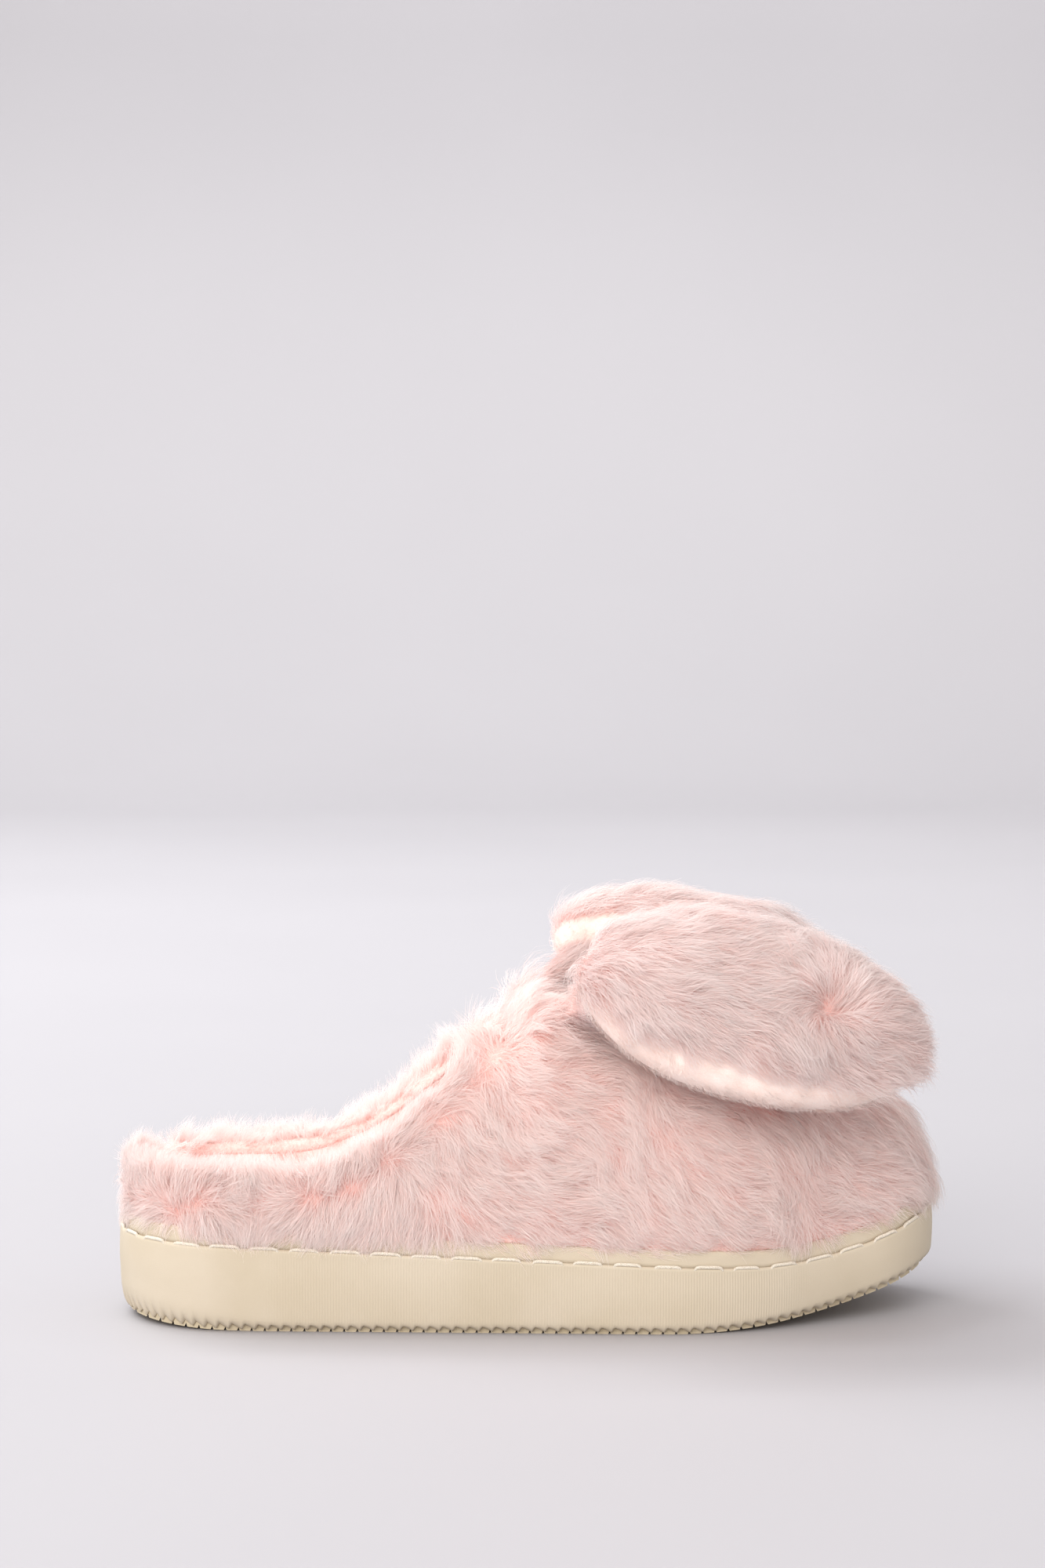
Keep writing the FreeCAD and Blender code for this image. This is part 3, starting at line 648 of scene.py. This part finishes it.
def build_upper():
    front = skin[..., 0] >= SIDE_SEAM_X - 0.5 * MM
    back = skin[..., 0] <= SIDE_SEAM_X + 0.5 * MM
    heel_low = (skin[..., 0] < COUNTER_X) & (skin[..., 2] < COUNTER_Z)
    toe = skin[..., 0] > PUFF_X
    seam = np.abs(skin[..., 0] - SIDE_SEAM_X) < 4 * MM
    layers = [
        ("vamp_backing", 0.0, 1.2, BACKING, front, "vamp_fur", "fur"),
        ("collar_backing", 0.0, 1.2, BACKING, back, "collar_fur", "fur"),
        ("vamp_padding", 1.3, 3.6, FOAM, front, "vamp_foam", "filler_foam"),
        ("collar_padding", 1.3, 3.6, FOAM, back, "collar_foam", "filler_foam"),
        ("toe_stiffener", 3.7, 4.4, SHEET, toe, "toe_puff", "stiffener"),
        ("heel_stiffener", 3.7, 4.4, SHEET, heel_low, "heel_counter", "stiffener"),
        ("side_tapes", 3.7, 4.4, TAPE, seam, "side_seam_tapes", "tape"),
        ("vamp_plush", 4.5, 6.0, PLUSH, front, "vamp_lining", "plush"),
        ("collar_plush", 4.5, 6.0, PLUSH, back, "collar_lining", "plush"),
    ]
    for name, near, far, material, keep, node, slot in layers:
        piece = shell_object(name, deeper(near * MM), deeper(far * MM), material, SHOE,
                             around=True, keep=keep)
        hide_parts(node)


build_sole()
build_upper()

# ------------------------------------------------------------------ hair

STEPS = np.linspace(0, 1, 5)
TAPER = np.array([0.9, 1.0, 0.85, 0.6, 0.12])
PIECE_LIMIT = 24000       # strands in one piece
SKIN_SHARE = 0.65         # how far a hair's shading follows the surface under it


def tangent(vector, normal):
    """The part of a direction that lies in the surface."""
    return unit(vector - normal * (vector * normal).sum(axis=-1, keepdims=True))


def locks(centre, normal, flow, rng, per_lock, length, lift=0.6, gather=0.65, scatter=1.5 * MM,
          wave=0.8 * MM, droop=0.12, hug=45 * MM):
    """Hairs in locks: each lock shares its lean, bend and tone, and its tips draw together.

    centre, normal and flow are one row per lock. Returns hair points, surface normals and tones.
    """
    count = len(centre)
    shape = (count, per_lock, 1)
    across = np.cross(normal, flow)
    length = np.broadcast_to(length, count)
    own = (length * rng.uniform(0.82, 1.15, count))[:, None, None]
    own = own * rng.uniform(0.72, 1.12, shape)
    rise = np.broadcast_to(lift, count) * rng.uniform(0.7, 1.3, count)
    rise = rise[:, None, None] * rng.uniform(0.75, 1.25, shape)
    swing = rng.normal(0, 0.14, count)[:, None, None] + rng.normal(0, 0.12, shape)
    along_0 = rng.normal(0, scatter, shape)
    across_0 = rng.normal(0, scatter, shape)
    bend = rng.normal(0, wave, count)[:, None, None]
    phase = rng.uniform(0, 2 * math.pi, count)[:, None, None]
    curl = rng.uniform(0.5, 1.0, count)[:, None, None]
    s = STEPS[None, None, :]
    height = own * rise * (s - 0.55 * s ** 2)
    forward = own * (0.55 * s + 0.4 * s ** 2)
    height = height - 0.6 * forward ** 2 / (2 * hug)
    side = forward * swing + bend * np.sin(2 * math.pi * curl * s + phase) * s
    closing = 1 - gather * s ** 1.3
    ahead = along_0 * closing + forward
    beside = across_0 * closing + side
    points = (centre[:, None, None, :] + normal[:, None, None, :] * height[..., None]
              + flow[:, None, None, :] * ahead[..., None]
              + across[:, None, None, :] * beside[..., None])
    points[..., 2] -= droop * own * s ** 2
    tone = clamp01(rng.normal(0.55, 0.16, count)[:, None] + rng.normal(0, 0.1, (count, per_lock)))
    up = np.broadcast_to(normal[:, None, :], (count, per_lock, 3))
    return points.reshape(-1, 5, 3), up.reshape(-1, 3).copy(), tone.reshape(-1)


def hair_pieces(name, points, up, tone, width, material, body, rng):
    """Makes hairs as tapered ribbons, in as many pieces as the limit asks for."""
    order = rng.permutation(len(points))
    parts = max(1, math.ceil(len(points) / PIECE_LIMIT))
    for number in range(parts):
        chosen = order[number::parts]
        title = name if parts == 1 else "%s_%d" % (name, number + 1)
        piece = ribbons(title, points[chosen], up[chosen], tone[chosen], width, material, body,
                        rng)


def ribbons(name, points, up, tone, width, material, body, rng):
    count, steps = points.shape[:2]
    along = unit(np.gradient(points, axis=1))
    face = np.broadcast_to(up[:, None, :], points.shape)
    side = unit(np.cross(along, face))
    flat = unit(np.cross(side, along))
    turn = rng.normal(0, 0.6, (count, 1, 1))
    side = side * np.cos(turn) + flat * np.sin(turn)
    half = (width / 2 * TAPER * rng.uniform(0.7, 1.3, (count, 1)))[..., None]
    verts = np.stack([points - side * half, points + side * half], axis=2)
    start = np.arange(count)[:, None] * steps * 2
    rung = np.arange(steps - 1)[None, :] * 2
    corner = (start + rung).ravel()
    faces = np.stack([corner, corner + 1, corner + 3, corner + 2], axis=1)
    item = mesh_object(name, verts.reshape(-1, 3), faces, material, body)
    data = item.data
    shading = unit(face * SKIN_SHARE + flat * (1 - SKIN_SHARE)
                   + rng.normal(0, 0.12, (count, 1, 3)))
    shading = np.repeat(shading[:, :, None, :], 2, axis=2).reshape(-1, 3)
    data.normals_split_custom_set_from_vertices(shading)
    place = np.empty((count, steps, 2, 2))
    place[..., 0] = 0.02 + 0.96 * tone[:, None, None]
    place[..., 1] = 0.02 + 0.96 * STEPS[None, :, None]
    layer = data.uv_layers.new(name="OFBake")
    layer.data.foreach_set("uv", place.reshape(-1, 2)[faces.ravel()].astype(np.float32).ravel())
    return item


def scatter_on(grid, normals, rng, count, around=False, accept=None, density=None):
    """Random places spread evenly by area over a grid, with their normals."""
    rows, columns = grid.shape[:2]
    flat, flat_normals = grid.reshape(-1, 3), normals.reshape(-1, 3)
    faces = grid_faces(rows, columns, around)
    a, b, c, d = (flat[faces[:, i]] for i in range(4))
    area = np.linalg.norm(np.cross(c - a, d - b), axis=1) / 2
    middle = (a + b + c + d) / 4
    if accept is not None:
        area = area * accept(middle)
    if density is not None:
        area = area * density(middle)
    pick = rng.choice(len(faces), count, p=area / area.sum())
    u, v = rng.uniform(0, 1, (2, count, 1))
    weights = [(1 - u) * (1 - v), u * (1 - v), u * v, (1 - u) * v]
    place = sum(flat[faces[pick, i]] * w for i, w in enumerate(weights))
    normal = unit(sum(flat_normals[faces[pick, i]] * w for i, w in enumerate(weights)))
    return place, normal


swirl_broad = [waves(seed, 48 * MM) for seed in (101, 102, 103)]
swirl_fine = [waves(seed, 15 * MM) for seed in (111, 112, 113)]


def swirl(points, broad, fine):
    return (broad * np.stack([w(points) for w in swirl_broad], axis=-1)
            + fine * np.stack([w(points) for w in swirl_fine], axis=-1))


def upper_flow(points, normals):
    """The pile runs to the toe on the vamp and fans down over the quarters and the heel."""
    x = points[:, 0]
    vamp = smooth(x, -75 * MM, 5 * MM)[:, None]
    nose = smooth(x, 92 * MM, 122 * MM)[:, None]
    heel = np.stack([-0.25 - 0.5 * smooth(-x, 0.09, 0.125), 0.25 * np.sign(points[:, 1]),
                     np.full_like(x, -1.0)], axis=1)
    side = np.stack([np.ones_like(x), 0.30 * np.tanh(points[:, 1] / 0.02), np.full_like(x, -0.42)],
                    axis=1)
    toe = np.stack([np.full_like(x, 0.6), 0.3 * np.tanh(points[:, 1] / 0.02),
                    np.full_like(x, -0.8)], axis=1)
    way = heel * (1 - vamp) + side * vamp * (1 - nose) + toe * nose
    open_edge = 1 - smooth(points[:, 0], THROAT_X - 2 * MM, THROAT_X + 6 * MM)
    near_rim = (1 - smooth(rim_z(x) - points[:, 2], 3 * MM, 15 * MM)) * open_edge
    way = unit(way) * (1 - 0.9 * near_rim[:, None]) + near_rim[:, None] * np.array([0.25, 0, 1.0])
    way = way + swirl(points, 0.40, 0.45)
    return tangent(way, normals)


HAIR = 0.13 * MM
EAR_ROOTS = [np.array(joint["pos_m"], float) for joint in frame["joints"]]


def upper_fur():
    rng = np.random.default_rng(21)
    for name, part, count in (("vamp_pile", lambda x: x > SIDE_SEAM_X, 10200),
                              ("collar_pile", lambda x: x <= SIDE_SEAM_X, 3400)):
        def shown(middle):
            bare = (4.6 + 2.2 * smooth(middle[:, 0], 30 * MM, 60 * MM)) * MM
            return part(middle[:, 0]) & (middle[:, 2] > seam_z(middle[:, 0]) + bare)
        place, normal = scatter_on(skin, skin_normal, rng, count, around=True, accept=shown)
        flow = upper_flow(place, normal)
        above = place[:, 2] - seam_z(place[:, 0])
        toe = smooth(place[:, 0], 0.095, 0.125)
        low = 1 - smooth(above, 5 * MM, 15 * MM)
        root = np.min([np.linalg.norm(place - r, axis=1) for r in EAR_ROOTS], axis=0)
        near_ear = 1 - smooth(root, 9 * MM, 20 * MM)
        length = (9.8 + 3.0 * toe + 6.0 * near_ear) * MM * (1 - 0.36 * low)
        points, up, tone = locks(place, normal, flow, rng, 14, length, lift=0.8 + 0.7 * near_ear)
        hair_pieces(name, points, up, tone, HAIR, FUR, SHOE, rng)


def rim_rows():
    """The rows of the skin that end at the topline rather than at the crown."""
    edge = skin[:, -1]
    high = edge[:, 2] > rim_z(edge[:, 0]) - 3 * MM
    return np.flatnonzero((edge[:, 0] < THROAT_X + 2 * MM) & high)


def rim_binding():
    """A soft rolled edge between the pile and the lining, all along the topline."""
    rows = rim_rows()
    rows = np.roll(rows, -int(np.argmax(np.diff(np.append(rows, rows[0] + ROUND_COUNT)))) - 1)
    outer, normal = skin[rows, -1], skin_normal[rows, -1]
    rise = unit(skin[rows, -1] - skin[rows, -4])
    turn = np.linspace(0, math.pi, 13)
    width = 3.1 * MM
    middle = outer - normal * width - rise * 0.4 * MM
    arc = (middle[:, None] + normal[:, None] * (np.cos(turn) * (width + 0.2 * MM))[None, :, None]
           + rise[:, None] * (np.sin(turn) * 2.4 * MM)[None, :, None])
    inner = (middle[:, None] + normal[:, None] * (np.cos(turn) * width * 0.9)[None, :, None]
             - rise[:, None] * 1.2 * MM)
    piece = shell_object("topline_roll", arc, inner, BACKING, SHOE)
    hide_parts("topline_binding")


def rim_fur():
    """Pile that stands up from the topline and folds to both sides."""
    rng = np.random.default_rng(22)
    count = 1500
    pick = rng.choice(rim_rows(), count)
    step = (skin[(pick + 1) % ROUND_COUNT, -1] - skin[pick, -1]) * rng.uniform(0, 1, (count, 1))
    out = skin_normal[pick, -1]
    rise = unit(skin[pick, -1] - skin[pick, -4])
    place = skin[pick, -1] + step + out * rng.uniform(-5.5, 0.5, (count, 1)) * MM
    lean = rng.normal(0.25, 0.8, (count, 1))
    climb = smooth(place[:, 0], -60 * MM, 0)[:, None]
    ahead = np.array([0.15, 0, 0]) + climb * np.array([0.15, 0, 0.35])
    flow = unit(rise + out * lean + swirl(place, 0.35, 0.5) + ahead)
    normal = tangent(out, flow)
    length = (8.5 + 5.5 * climb[:, 0]) * MM
    points, up, tone = locks(place, normal, flow, rng, 12, length, lift=0.35, scatter=1.2 * MM,
                             droop=0.1)
    hair_pieces("rim_pile", points, up, tone, HAIR, FUR, SHOE, rng)


# ------------------------------------------------------------------ ears

class Ear:
    """One ear's own frame and half sizes, read off its CAD nodes and its hinge."""

    def __init__(self, word):
        self.word = word
        self.body = "ear_" + word
        joint = next(j for j in frame["joints"] if j["child"] == self.body)
        self.root = np.array(joint["pos_m"], float)
        core = node_points("ear_%s_stuffing" % word)
        skin_points = node_points("ear_%s_fur" % word, "ear_%s_velour" % word)
        self.centre = (core.min(axis=0) + core.max(axis=0)) / 2
        thread = node_points("ear_%s_tuft_thread" % word)
        _, _, axes = np.linalg.svd(thread - thread.mean(axis=0))
        self.z = axes[0] * np.sign(axes[0][2])
        ahead = self.centre - self.root
        self.x = unit(ahead - self.z * (ahead @ self.z))
        self.y = np.cross(self.z, self.x)
        local = (skin_points - self.centre) @ self.axes().T
        self.half = (local.max(axis=0) - local.min(axis=0)) / 2
        self.tuft = (thread.mean(axis=0) - self.centre) @ self.axes().T
        self.side = EARS[word]

    def axes(self):
        return np.array([self.x, self.y, self.z])

    def world(self, local):
        return local @ self.axes() + self.centre

    def turn(self, local):
        return local @ self.axes()

    def inside(self, world):
        return (world - self.centre) @ self.axes().T


EAR_ROUND, EAR_UP = 360, 60
EAR_SKIN = 1.3 * MM
SUNK_TAPE = 3.4 * MM    # the tape lies on the backing, this far below the middle of the pile
SEAM_LIFT = math.radians(34)    # how far round the ear the seam is lifted at its low edge


def ear_surface(ear, face, depth=0.0):
    """One panel of the pillow: rings from the edge seam (0) to the middle; face is 1 or -1.

    The seam runs higher along the drooping edge, so that the velour shows below the pile there.
    """
    turn = np.linspace(0, 2 * math.pi, EAR_ROUND, endpoint=False)[:, None]
    share = np.linspace(0, 1, EAR_UP)[None, :]
    seam = SEAM_LIFT * np.maximum(np.sin(turn) * ear.side, 0) ** 1.3
    height = seam + (face * math.pi / 2 - seam) * share
    radius = np.maximum(np.cos(height), 0)
    a, b, c = ear.half - depth
    x = a * radius * np.cos(turn)
    y = b * radius * np.sin(turn)
    swell = np.maximum(1 - radius ** 2.2, 0) ** 0.52
    z = np.sign(height) * c * swell
    reach = np.hypot(x - ear.tuft[0], y - ear.tuft[1])
    z = z - face * (4.0 * MM) * np.exp(-(reach / (6 * MM)) ** 2) * smooth(share, 0.1, 0.3)
    rng = np.random.default_rng(40 + (face > 0) + 2 * (ear.side > 0))
    pucker = np.zeros_like(x)
    for wave in (19, 31, 43):
        pucker = pucker + np.sin(wave * turn + rng.uniform(0, 6)) * rng.uniform(0.5, 1)
    z = z + face * 0.3 * MM * pucker * np.exp(-((share - 0.12) / 0.1) ** 2)
    local = np.stack(np.broadcast_arrays(x, y, z), axis=2)
    bumps = waves(60 + (face > 0), 32 * MM)(local) * 0.9 * MM * np.sin(share * math.pi) ** 0.5
    local[..., 2] += face * bumps
    return local


def ear_half(ear, face, name, node, material):
    outer = ear_surface(ear, face)
    inner = ear_surface(ear, face, EAR_SKIN)
    if face < 0:
        outer, inner = outer[::-1], inner[::-1]
    piece = shell_object(name, ear.world(outer), ear.world(inner), material, ear.body, around=True)
    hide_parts(node)
    return piece


def ear_flow(ear, local, normal):
    """Hair runs to the tip and out to the edge, and turns about a whorl near the tuft."""
    x, y = local[:, 0], local[:, 1]
    low = smooth(y * ear.side / ear.half[1], 0.3, 0.8)
    way = np.stack([np.full_like(x, 0.9), 0.4 * np.tanh(y / (16 * MM)) * (1 - low),
                    np.zeros_like(x)], axis=1)
    off = local - ear.tuft
    reach = np.linalg.norm(off[:, :2], axis=1)
    whorl = np.exp(-(reach / (17 * MM)) ** 2)[:, None]
    spin = np.stack([off[:, 0] - 0.5 * off[:, 1], off[:, 1] + 0.5 * off[:, 0], 0 * x], axis=1)
    way = unit(way) * (1 - whorl) + unit(spin) * whorl * 1.3
    way = way + swirl(local + 0.3 * ear.side, 0.30, 0.32)
    return tangent(way, normal)


def build_ear(word):
    ear = Ear(word)
    name = "ear_%s" % word
    ear_half(ear, 1, name + "_backing", name + "_fur", BACKING)
    velour = ear_half(ear, -1, name + "_velour_panel", name + "_velour", VELOUR)
    rng = np.random.default_rng(70 + ear.side)
    outer = ear_surface(ear, 1)
    outer_normal = grid_normals(outer, around=True)
    place, normal = scatter_on(outer, outer_normal, rng, 3300, around=True)
    flow = ear_flow(ear, place, normal)
    low = smooth(place[:, 1] * ear.side / ear.half[1], 0.55, 0.9)
    length = (11.0 - 4.0 * low) * MM
    points, up, tone = locks(place, normal, flow, rng, 14, length, lift=0.72, droop=0.0,
                             hug=34 * MM)
    points = ear.world(points.reshape(-1, 3)).reshape(points.shape)
    points[..., 2] -= 0.8 * MM * STEPS ** 2
    hair_pieces(name + "_pile", points, ear.turn(up), tone, HAIR, EAR_FUR, ear.body, rng)
    under = ear_surface(ear, -1)
    under_normal = -grid_normals(under, around=True)
    place, normal = scatter_on(under, under_normal, rng, 1500, around=True)
    flow = tangent(np.array([1.0, 0.3, 0]) + swirl(place, 0.3, 0.6), normal)
    points, up, tone = locks(place, normal, flow, rng, 14, 2.0 * MM, lift=1.1, droop=0.0,
                             scatter=1.6 * MM, gather=0.15, wave=0.1 * MM)
    points = ear.world(points.reshape(-1, 3)).reshape(points.shape)
    hair_pieces(name + "_nap", points, ear.turn(up), tone, 0.09 * MM, NAP, ear.body, rng)
    stuffing(ear)
    neck(ear)
    tuft(ear)
    root_tape(ear)


def stuffing(ear):
    top, low = ear_surface(ear, 1, 3.2 * MM), ear_surface(ear, -1, 3.2 * MM)
    lumps = waves(80, 9 * MM)
    grid = np.concatenate([top, low[:, ::-1][:, 1:]], axis=1)
    grid = grid * (1 + 0.02 * lumps(grid))[..., None]
    rows, columns = grid.shape[:2]
    item = mesh_object("ear_%s_fibre_core" % ear.word, ear.world(grid).reshape(-1, 3),
                       grid_faces(rows, columns, around=True)[:, ::-1], FIBRE, ear.body)
    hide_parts("ear_%s_stuffing" % ear.word)


def tuft(ear):
    """The thread that draws the two faces together, from dimple to dimple."""
    turn = np.linspace(0, 2 * math.pi, 10, endpoint=False)[:, None]
    share = np.linspace(-1, 1, 9)[None, :]
    radius = 0.8 * MM * np.sqrt(np.maximum(1.02 - share ** 8, 0))
    reach = ear.half[2] - 6.0 * MM
    local = np.stack(np.broadcast_arrays(ear.tuft[0] + radius * np.cos(turn + 2 * share),
                                         ear.tuft[1] + radius * np.sin(turn + 2 * share),
                                         share * reach), axis=2)
    item = mesh_object("ear_%s_tuft" % ear.word, ear.world(local).reshape(-1, 3),
                       grid_faces(10, 9, around=True), THREAD, ear.body)
    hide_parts("ear_%s_tuft_thread" % ear.word)


def root_tape(ear):
    """The woven tape under the pile that holds the ear's root, sewn flat to the vamp."""
    node = node_points("ear_%s_root_tape" % ear.word)
    middle = ear.inside(node.mean(axis=0)) - np.array([0, 0, SUNK_TAPE])
    rows, columns = 16, 10
    x = np.linspace(-5, 5, rows)[:, None] * MM
    y = np.linspace(-4, 4, columns)[None, :] * MM
    sag = -(x ** 2) / 90e-3 - y ** 2 / 70e-3
    top = np.stack(np.broadcast_arrays(x, y, sag + 0 * x), axis=2) + middle
    low = top - np.array([0, 0, 0.9 * MM])
    piece = shell_object("ear_%s_tape" % ear.word, ear.world(top), ear.world(low), TAPE, SHOE)
    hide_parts("ear_%s_root_tape" % ear.word)


def neck(ear):
    """A short gathered sleeve from the root seam into the ear, its mouth flattened on the vamp."""
    rows, columns = 72, 16
    turn = np.linspace(0, 2 * math.pi, rows, endpoint=False)[:, None]
    share = np.linspace(0, 1, columns)[None, :]
    root = ear.inside(ear.root)
    finish = np.array([-0.72 * ear.half[0], 0, 0])
    spine = root[None, None] * (1 - share[..., None]) + finish * share[..., None]
    wide = (4.5 + 8.5 * share ** 1.2) * MM
    tall = (2.0 + 6.5 * share ** 1.2) * MM
    pleat = 1 + 0.10 * np.sin(9 * turn) * (1 - 0.5 * share)
    offset = np.stack(np.broadcast_arrays(0 * turn * share, wide * np.cos(turn) * pleat,
                                          tall * np.sin(turn) * pleat), axis=2)
    outer = spine + offset
    inner = spine + offset * 0.8
    piece = shell_object("ear_%s_neck_sleeve" % ear.word, ear.world(outer), ear.world(inner),
                         VELOUR, ear.body, around=True)
    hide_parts("ear_%s_neck" % ear.word)
    rng = np.random.default_rng(90 + ear.side)
    place, normal = scatter_on(outer, grid_normals(outer, around=True), rng, 900, around=True)
    normal = unit(place - spine[0, (np.clip((place[:, 0] - root[0]) / (finish[0] - root[0]), 0, 1)
                                    * (columns - 1)).astype(int)])
    flow = tangent(np.array([1.0, 0, 0.2]) + swirl(place, 0.3, 0.4), normal)
    points, up, tone = locks(place, normal, flow, rng, 22, 12.0 * MM, lift=0.9, droop=0.0)
    points = ear.world(points.reshape(-1, 3)).reshape(points.shape)
    hair_pieces("ear_%s_root_pile" % ear.word, points, ear.turn(up), tone, HAIR, EAR_FUR, ear.body,
                rng)


def lining_pile():
    """Short plush inside the heel and on the footbed."""
    rng = np.random.default_rng(23)
    inner = deeper(6.0 * MM)

    def open_part(middle):
        return middle[:, 2] > seam_z(middle[:, 0])
    place, normal = scatter_on(inner, -skin_normal, rng, 1500, around=True, accept=open_part)
    flow = tangent(np.array([0.3, 0, -1.0]) + swirl(place, 0.3, 0.8), normal)
    points, up, tone = locks(place, normal, flow, rng, 15, 5.0 * MM, lift=1.0, scatter=1.8 * MM,
                             gather=0.3, wave=0.3 * MM)
    hair_pieces("lining_pile", points, up, tone, 0.13 * MM, FUR, SHOE, rng)
    points, _, _ = even_ring(400)
    count = 1300
    at = rng.integers(0, 400, count)
    share = np.sqrt(rng.uniform(0, 1, (count, 1)))
    place = points[at] * share * np.array([1 - 13 * MM / TOE_X, 0.72])
    top = seam_z(place[:, 0]) - 0.9 * MM
    place = np.concatenate([place, top[:, None]], axis=1)
    normal = np.tile([0.0, 0.0, 1.0], (count, 1))
    flow = tangent(np.array([1.0, 0.1, 0]) + swirl(place, 0.6, 0.9), normal)
    points, up, tone = locks(place, normal, flow, rng, 17, 3.6 * MM, lift=1.0, scatter=2.2 * MM,
                             gather=0.3, wave=0.3 * MM)
    hair_pieces("footbed_pile", points, up, tone, 0.13 * MM, FUR, SHOE, rng)


rim_binding()
upper_fur()
rim_fur()
lining_pile()
for word in EARS:
    build_ear(word)

# ------------------------------------------------------------------ stage

def stage():
    size = 6.0
    reach = 2.2
    bend = 0.8
    rows = [(-size, 0), (reach, 0)]
    for turn in np.linspace(0, math.pi / 2, 14)[1:]:
        rows.append((reach + bend * math.sin(turn), bend * (1 - math.cos(turn))))
    rows.append((reach + bend, size))
    verts = [(x, y, z) for y, z in rows for x in (-size, size)]
    faces = [(2 * i, 2 * i + 1, 2 * i + 3, 2 * i + 2) for i in range(len(rows) - 1)]
    data = bpy.data.meshes.new("studio_sweep")
    data.from_pydata(verts, [], faces)
    for face in data.polygons:
        face.use_smooth = True
    paint = Paint("studio_paper", 0.55, specular=0.25)
    paper = paint.noise(3, 2)
    paint.colour(paint.ramp(paper, [(0.3, srgb(170, 168, 172)), (0.7, srgb(172, 170, 174))]))
    data.materials.append(paint.material)
    item = bpy.data.objects.new("studio_sweep", data)
    bpy.context.scene.collection.objects.link(item)


def area_light(name, place, target, size, power, colour=(1, 1, 1)):
    data = bpy.data.lights.new(name, "AREA")
    data.shape = "RECTANGLE"
    data.size, data.size_y = size
    data.energy = power
    data.color = colour
    item = bpy.data.objects.new(name, data)
    item.location = place
    item.rotation_euler = (Vector(target) - Vector(place)).to_track_quat("-Z", "Y").to_euler()
    bpy.context.scene.collection.objects.link(item)


def lights():
    world = bpy.data.worlds.new("studio")
    world.use_nodes = True
    shade = world.node_tree.nodes["Background"]
    shade.inputs["Color"].default_value = (1.0, 0.97, 0.945, 1)
    shade.inputs["Strength"].default_value = 1.0
    bpy.context.scene.world = world
    area_light("key", (-1.1, 0.8, 1.7), (0, 0, 0.05), (1.7, 1.4), 48, (0.95, 0.98, 1.0))
    area_light("fill", (-0.8, -2.0, 1.2), (0, 0, 0.05), (1.8, 1.4), 39, (1.0, 0.96, 0.91))
    area_light("backdrop", (0, 1.4, 2.4), (0, 3.0, 0.9), (3.0, 0.8), 46)


def camera():
    """A long lens, low and square to the outer side; the object sits low in the frame."""
    distance = 1.162
    rise = math.radians(9.0)
    yaw = math.radians(3.0)
    tilt_up = math.radians(5.35)
    data = bpy.data.cameras.new("camera")
    data.lens = 85
    data.sensor_width = 36
    item = bpy.data.objects.new("camera", data)
    middle = Vector((-0.002, 0, 0.055))
    back = Vector((-math.sin(yaw) * math.cos(rise), -math.cos(yaw) * math.cos(rise),
                   math.sin(rise)))
    item.location = middle + back * distance
    aim = (-back).to_track_quat("-Z", "Y").to_matrix().to_4x4()
    turn = Matrix.Rotation(tilt_up, 4, "X")
    item.matrix_world = Matrix.Translation(item.location) @ aim @ turn
    bpy.context.scene.collection.objects.link(item)
    bpy.context.scene.camera = item


stage()
lights()
camera()
bpy.context.scene.view_settings.view_transform = "Standard"
bpy.context.scene.cycles.diffuse_bounces = 10    # light goes deep into pale pile
